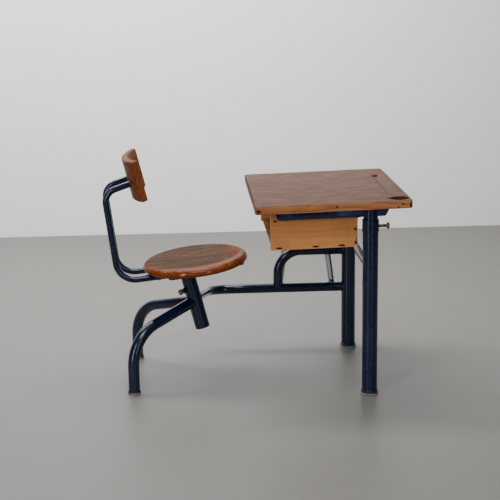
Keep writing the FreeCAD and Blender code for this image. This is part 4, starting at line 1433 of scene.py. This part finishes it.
@dataclass
class Studio:
    """Pale floor, plain wall, soft lights and the camera.

    Attributes:
        camera_place, camera_yaw, camera_pitch, camera_roll: where the camera stands and how it is turned.
        lens_mm, sensor_mm, view_depth: its lens, its sensor's width and how far it sees.
        wall_y, floor_size: where the wall stands, and how wide floor and wall are.
        floor_paint, wall_paint: their finishes.
        sky_colour, sky_strength: the even light from all round.
        lights: the soft boxes.
    """

    camera_place: tuple[float, float, float] = (-0.204386, -3.81626, 1.26735)
    camera_yaw: float = math.radians(-3.0389)
    camera_pitch: float = math.radians(12.7457)
    camera_roll: float = math.radians(-0.8001)
    lens_mm: float = 88.973
    sensor_mm: float = 36.0
    view_depth: float = 50.0
    wall_y: float = 2.2
    floor_size: float = 14.0
    floor_paint: StudioPaint = StudioPaint("floor_paint", "75726d", 0.45)
    wall_paint: StudioPaint = StudioPaint("wall_paint", "f0f0f0", 0.8, one_sided=True)
    sky_colour: str = "e8eaee"
    sky_strength: float = 0.15
    lights: tuple[SoftBox, ...] = (
        SoftBox("overhead", (-0.1, -0.3, 3.0), (-0.1, 0.0, 0.0), (2.4, 2.4), 12.0),
        SoftBox("front_strip", (-0.2, -1.9, 2.6), (-0.1, 0.0, 0.3), (1.4, 0.6), 30.0),
        SoftBox("key", (-1.9, -2.9, 1.25), (0.0, 0.0, 0.4), (0.5, 2.4), 44.0),
        SoftBox("fill", (1.1, -2.7, 1.2), (0.1, 0.0, 0.4), (0.35, 2.3), 14.0),
        SoftBox("wall_wash", (-0.7, 0.7, 2.6), (-0.35, 2.2, 0.6), (2.6, 1.0), 134.0))

    def build(self) -> None:
        """Set the stage, the lights and the camera."""
        self.plane("studio_floor", (0, 0, 0), (0, 0, 0), self.floor_paint)
        self.plane("studio_wall", (0, self.wall_y, 0), (math.pi / 2, 0, 0), self.wall_paint)
        for light in self.lights:
            light.build()
        self.world()
        self.camera()

    def plane(self, name: str, place: tuple[float, float, float], turn: tuple[float, float, float],
              paint: StudioPaint) -> None:
        """Set up a plane of the stage.

        Args:
            name: its name.
            place: its middle.
            turn: its rotation.
            paint: its finish.
        """
        deselect_all()
        bpy.ops.mesh.primitive_plane_add(size=self.floor_size, location=place, rotation=turn)
        piece = name_new(name)
        settle(piece)
        dress(piece, paint.material())

    def world(self) -> None:
        """Set up an even grey sky."""
        world = bpy.data.worlds.new("studio_air")
        world.use_nodes = True
        feed(world.node_tree.nodes["Background"], {
            "Color": linear(self.sky_colour), "Strength": self.sky_strength})
        bpy.context.scene.world = world

    def camera(self) -> None:
        """Set up a long lens a little above the desk, turned slightly towards it."""
        deselect_all()
        bpy.ops.object.camera_add(location=self.camera_place)
        camera = name_new("studio_camera")
        turn = (Matrix.Rotation(self.camera_yaw, 4, "Z")
                @ Matrix.Rotation(math.pi / 2 - self.camera_pitch, 4, "X")
                @ Matrix.Rotation(self.camera_roll, 4, "Z"))
        camera.rotation_euler = turn.to_euler()
        camera.data.sensor_width = self.sensor_mm
        camera.data.lens = self.lens_mm
        camera.data.clip_end = self.view_depth
        bpy.context.scene.camera = camera


def main() -> None:
    """Build the desk's looks, sub-assembly by sub-assembly."""
    logging.basicConfig(level=logging.INFO, format="%(name)s: %(message)s")
    base, bolts, desk, seat = BaseFrame(), ClampBolts(), DeskTop(), SeatUnit()
    # Enamel sprayed on tube and baked: nearly black navy, wet-looking, its highlights slightly rippled, with
    # a lighter blue painted on the rails as painted light.
    enamel = StoveEnamel().material()
    # Steel rod, drawn and polished: a bright mirror down its middle that turns dark at its sides.
    rod = DrawnSteel("polished_steel", "ccd2dc", "6c7078", 0.22, 0.12, edge_colour="14181e").material()
    # Zinc plate gone dull: brown-grey and half matt, with darker clouds of oxide.
    tarnished = DrawnSteel("tarnished_zinc", "b0a494", "5a4a3a", 0.5, 0.36).material()
    # Bare turned screws: plain grey, a little duller in patches.
    screw = DrawnSteel("plain_steel", "8d8a86", "5a544c", 0.4, 0.35).material()
    # Moulded plastic caps: smooth and dark, pale in a ring at the floor, partly chalky scuffs and partly a
    # painted glint.
    foot = MouldedFoot().material()
    # Beech board, planed, its varnish worn off on top: matt and grey-brown there, warm orange on its edges,
    # with painted shade in its inkwell, its groove and its near-left corner.
    top_wood = VarnishedWood(
        "worn_beech", light="b07446", dark="724830", pore="3a2012", stain="4a2e20", worn_light="6f5b53",
        worn_dark="4e3b33", worn_share=1.0, grain=Grain.ALONG_X, centre=(0.23, 0.0, 0.6), ring_mm=9.0,
        fibre_mm=1.8, pore_mm=0.6, roughness=0.55, coat=0.12, coat_roughness=0.35, patch_mm=13.0,
        patch_length_mm=65.0, marks=desk.top_marks())
    # Poplar boards, planed and thinly varnished: honey yellow, with faint rings, and painted shade in the
    # tenon slots.
    box_wood = VarnishedWood(
        "varnished_poplar", light="cc8b57", dark="b47746", pore="744626", stain="9c683c", worn_light="cc8b57",
        worn_dark="b47746", worn_share=0.0, grain=Grain.ALONG_X, centre=(0.18, 0.0, 0.5), ring_mm=14.0,
        fibre_mm=3.0, pore_mm=0.6, roughness=0.5, coat=0.15, coat_roughness=0.3,
        marks=desk.tenon_slot_shade + desk.box_nails, ring_depth=0.2)
    # Thin birch plywood, sanded and varnished: browner and flatter than the boards round it, with painted
    # shade in the tenon slots.
    panel_wood = VarnishedWood(
        "birch_plywood", light="96683c", dark="7a502c", pore="52341d", stain="6c4729", worn_light="96683c",
        worn_dark="7a502c", worn_share=0.0, grain=Grain.ALONG_Y, centre=(0.18, 0.0, 0.45), ring_mm=14.0,
        fibre_mm=2.4, pore_mm=0.6, roughness=0.5, coat=0.1, coat_roughness=0.3, marks=desk.tenon_slot_shade)
    # Beech staves, turned round and gloss varnished: worn dull on top, glassy red-orange round the rim.
    seat_wood = VarnishedWood(
        "glossy_beech", light="974815", dark="58280a", pore="2c1508", stain="481e08", worn_light="544b41",
        worn_dark="362c26", worn_share=0.9, grain=Grain.ALONG_X, centre=seat.middle(), ring_mm=8.0,
        fibre_mm=2.6, pore_mm=0.9, roughness=0.36, coat=0.45, coat_roughness=0.08, stave_mm=95.0,
        stave_offset_mm=5.0, joint_mm=3.2, patch_mm=9.0, patch_length_mm=110.0, worn_to=0.985,
        worn_radius=seat.worn_radius, worn_shift=seat.worn_shift)
    # Beech, sawn to a curve and varnished: red-brown with its grain upright, paler where its top is rubbed.
    back_wood = VarnishedWood(
        "curved_beech", light="8c4c26", dark="502a16", pore="281309", stain="3a1e10", worn_light="86695a",
        worn_dark="5e4638", worn_share=0.85, grain=Grain.ALONG_Z, centre=(-0.38, 0.0, 0.64), ring_mm=8.0,
        fibre_mm=2.4, pore_mm=0.8, roughness=0.45, coat=0.1, coat_roughness=0.25, patch_mm=9.0,
        patch_length_mm=80.0)
    base.dress(base.build(), enamel, rod, foot)
    bolts.dress(bolts.build(), tarnished)
    desk.dress(enamel, top_wood.material(), box_wood.material(), panel_wood.material(), screw)
    seat.dress(enamel, seat_wood.material(), back_wood.material(), screw)
    Studio().build()
    LOG.info("built %d materials", len(bpy.data.materials))


if __name__ == "__main__":
    main()
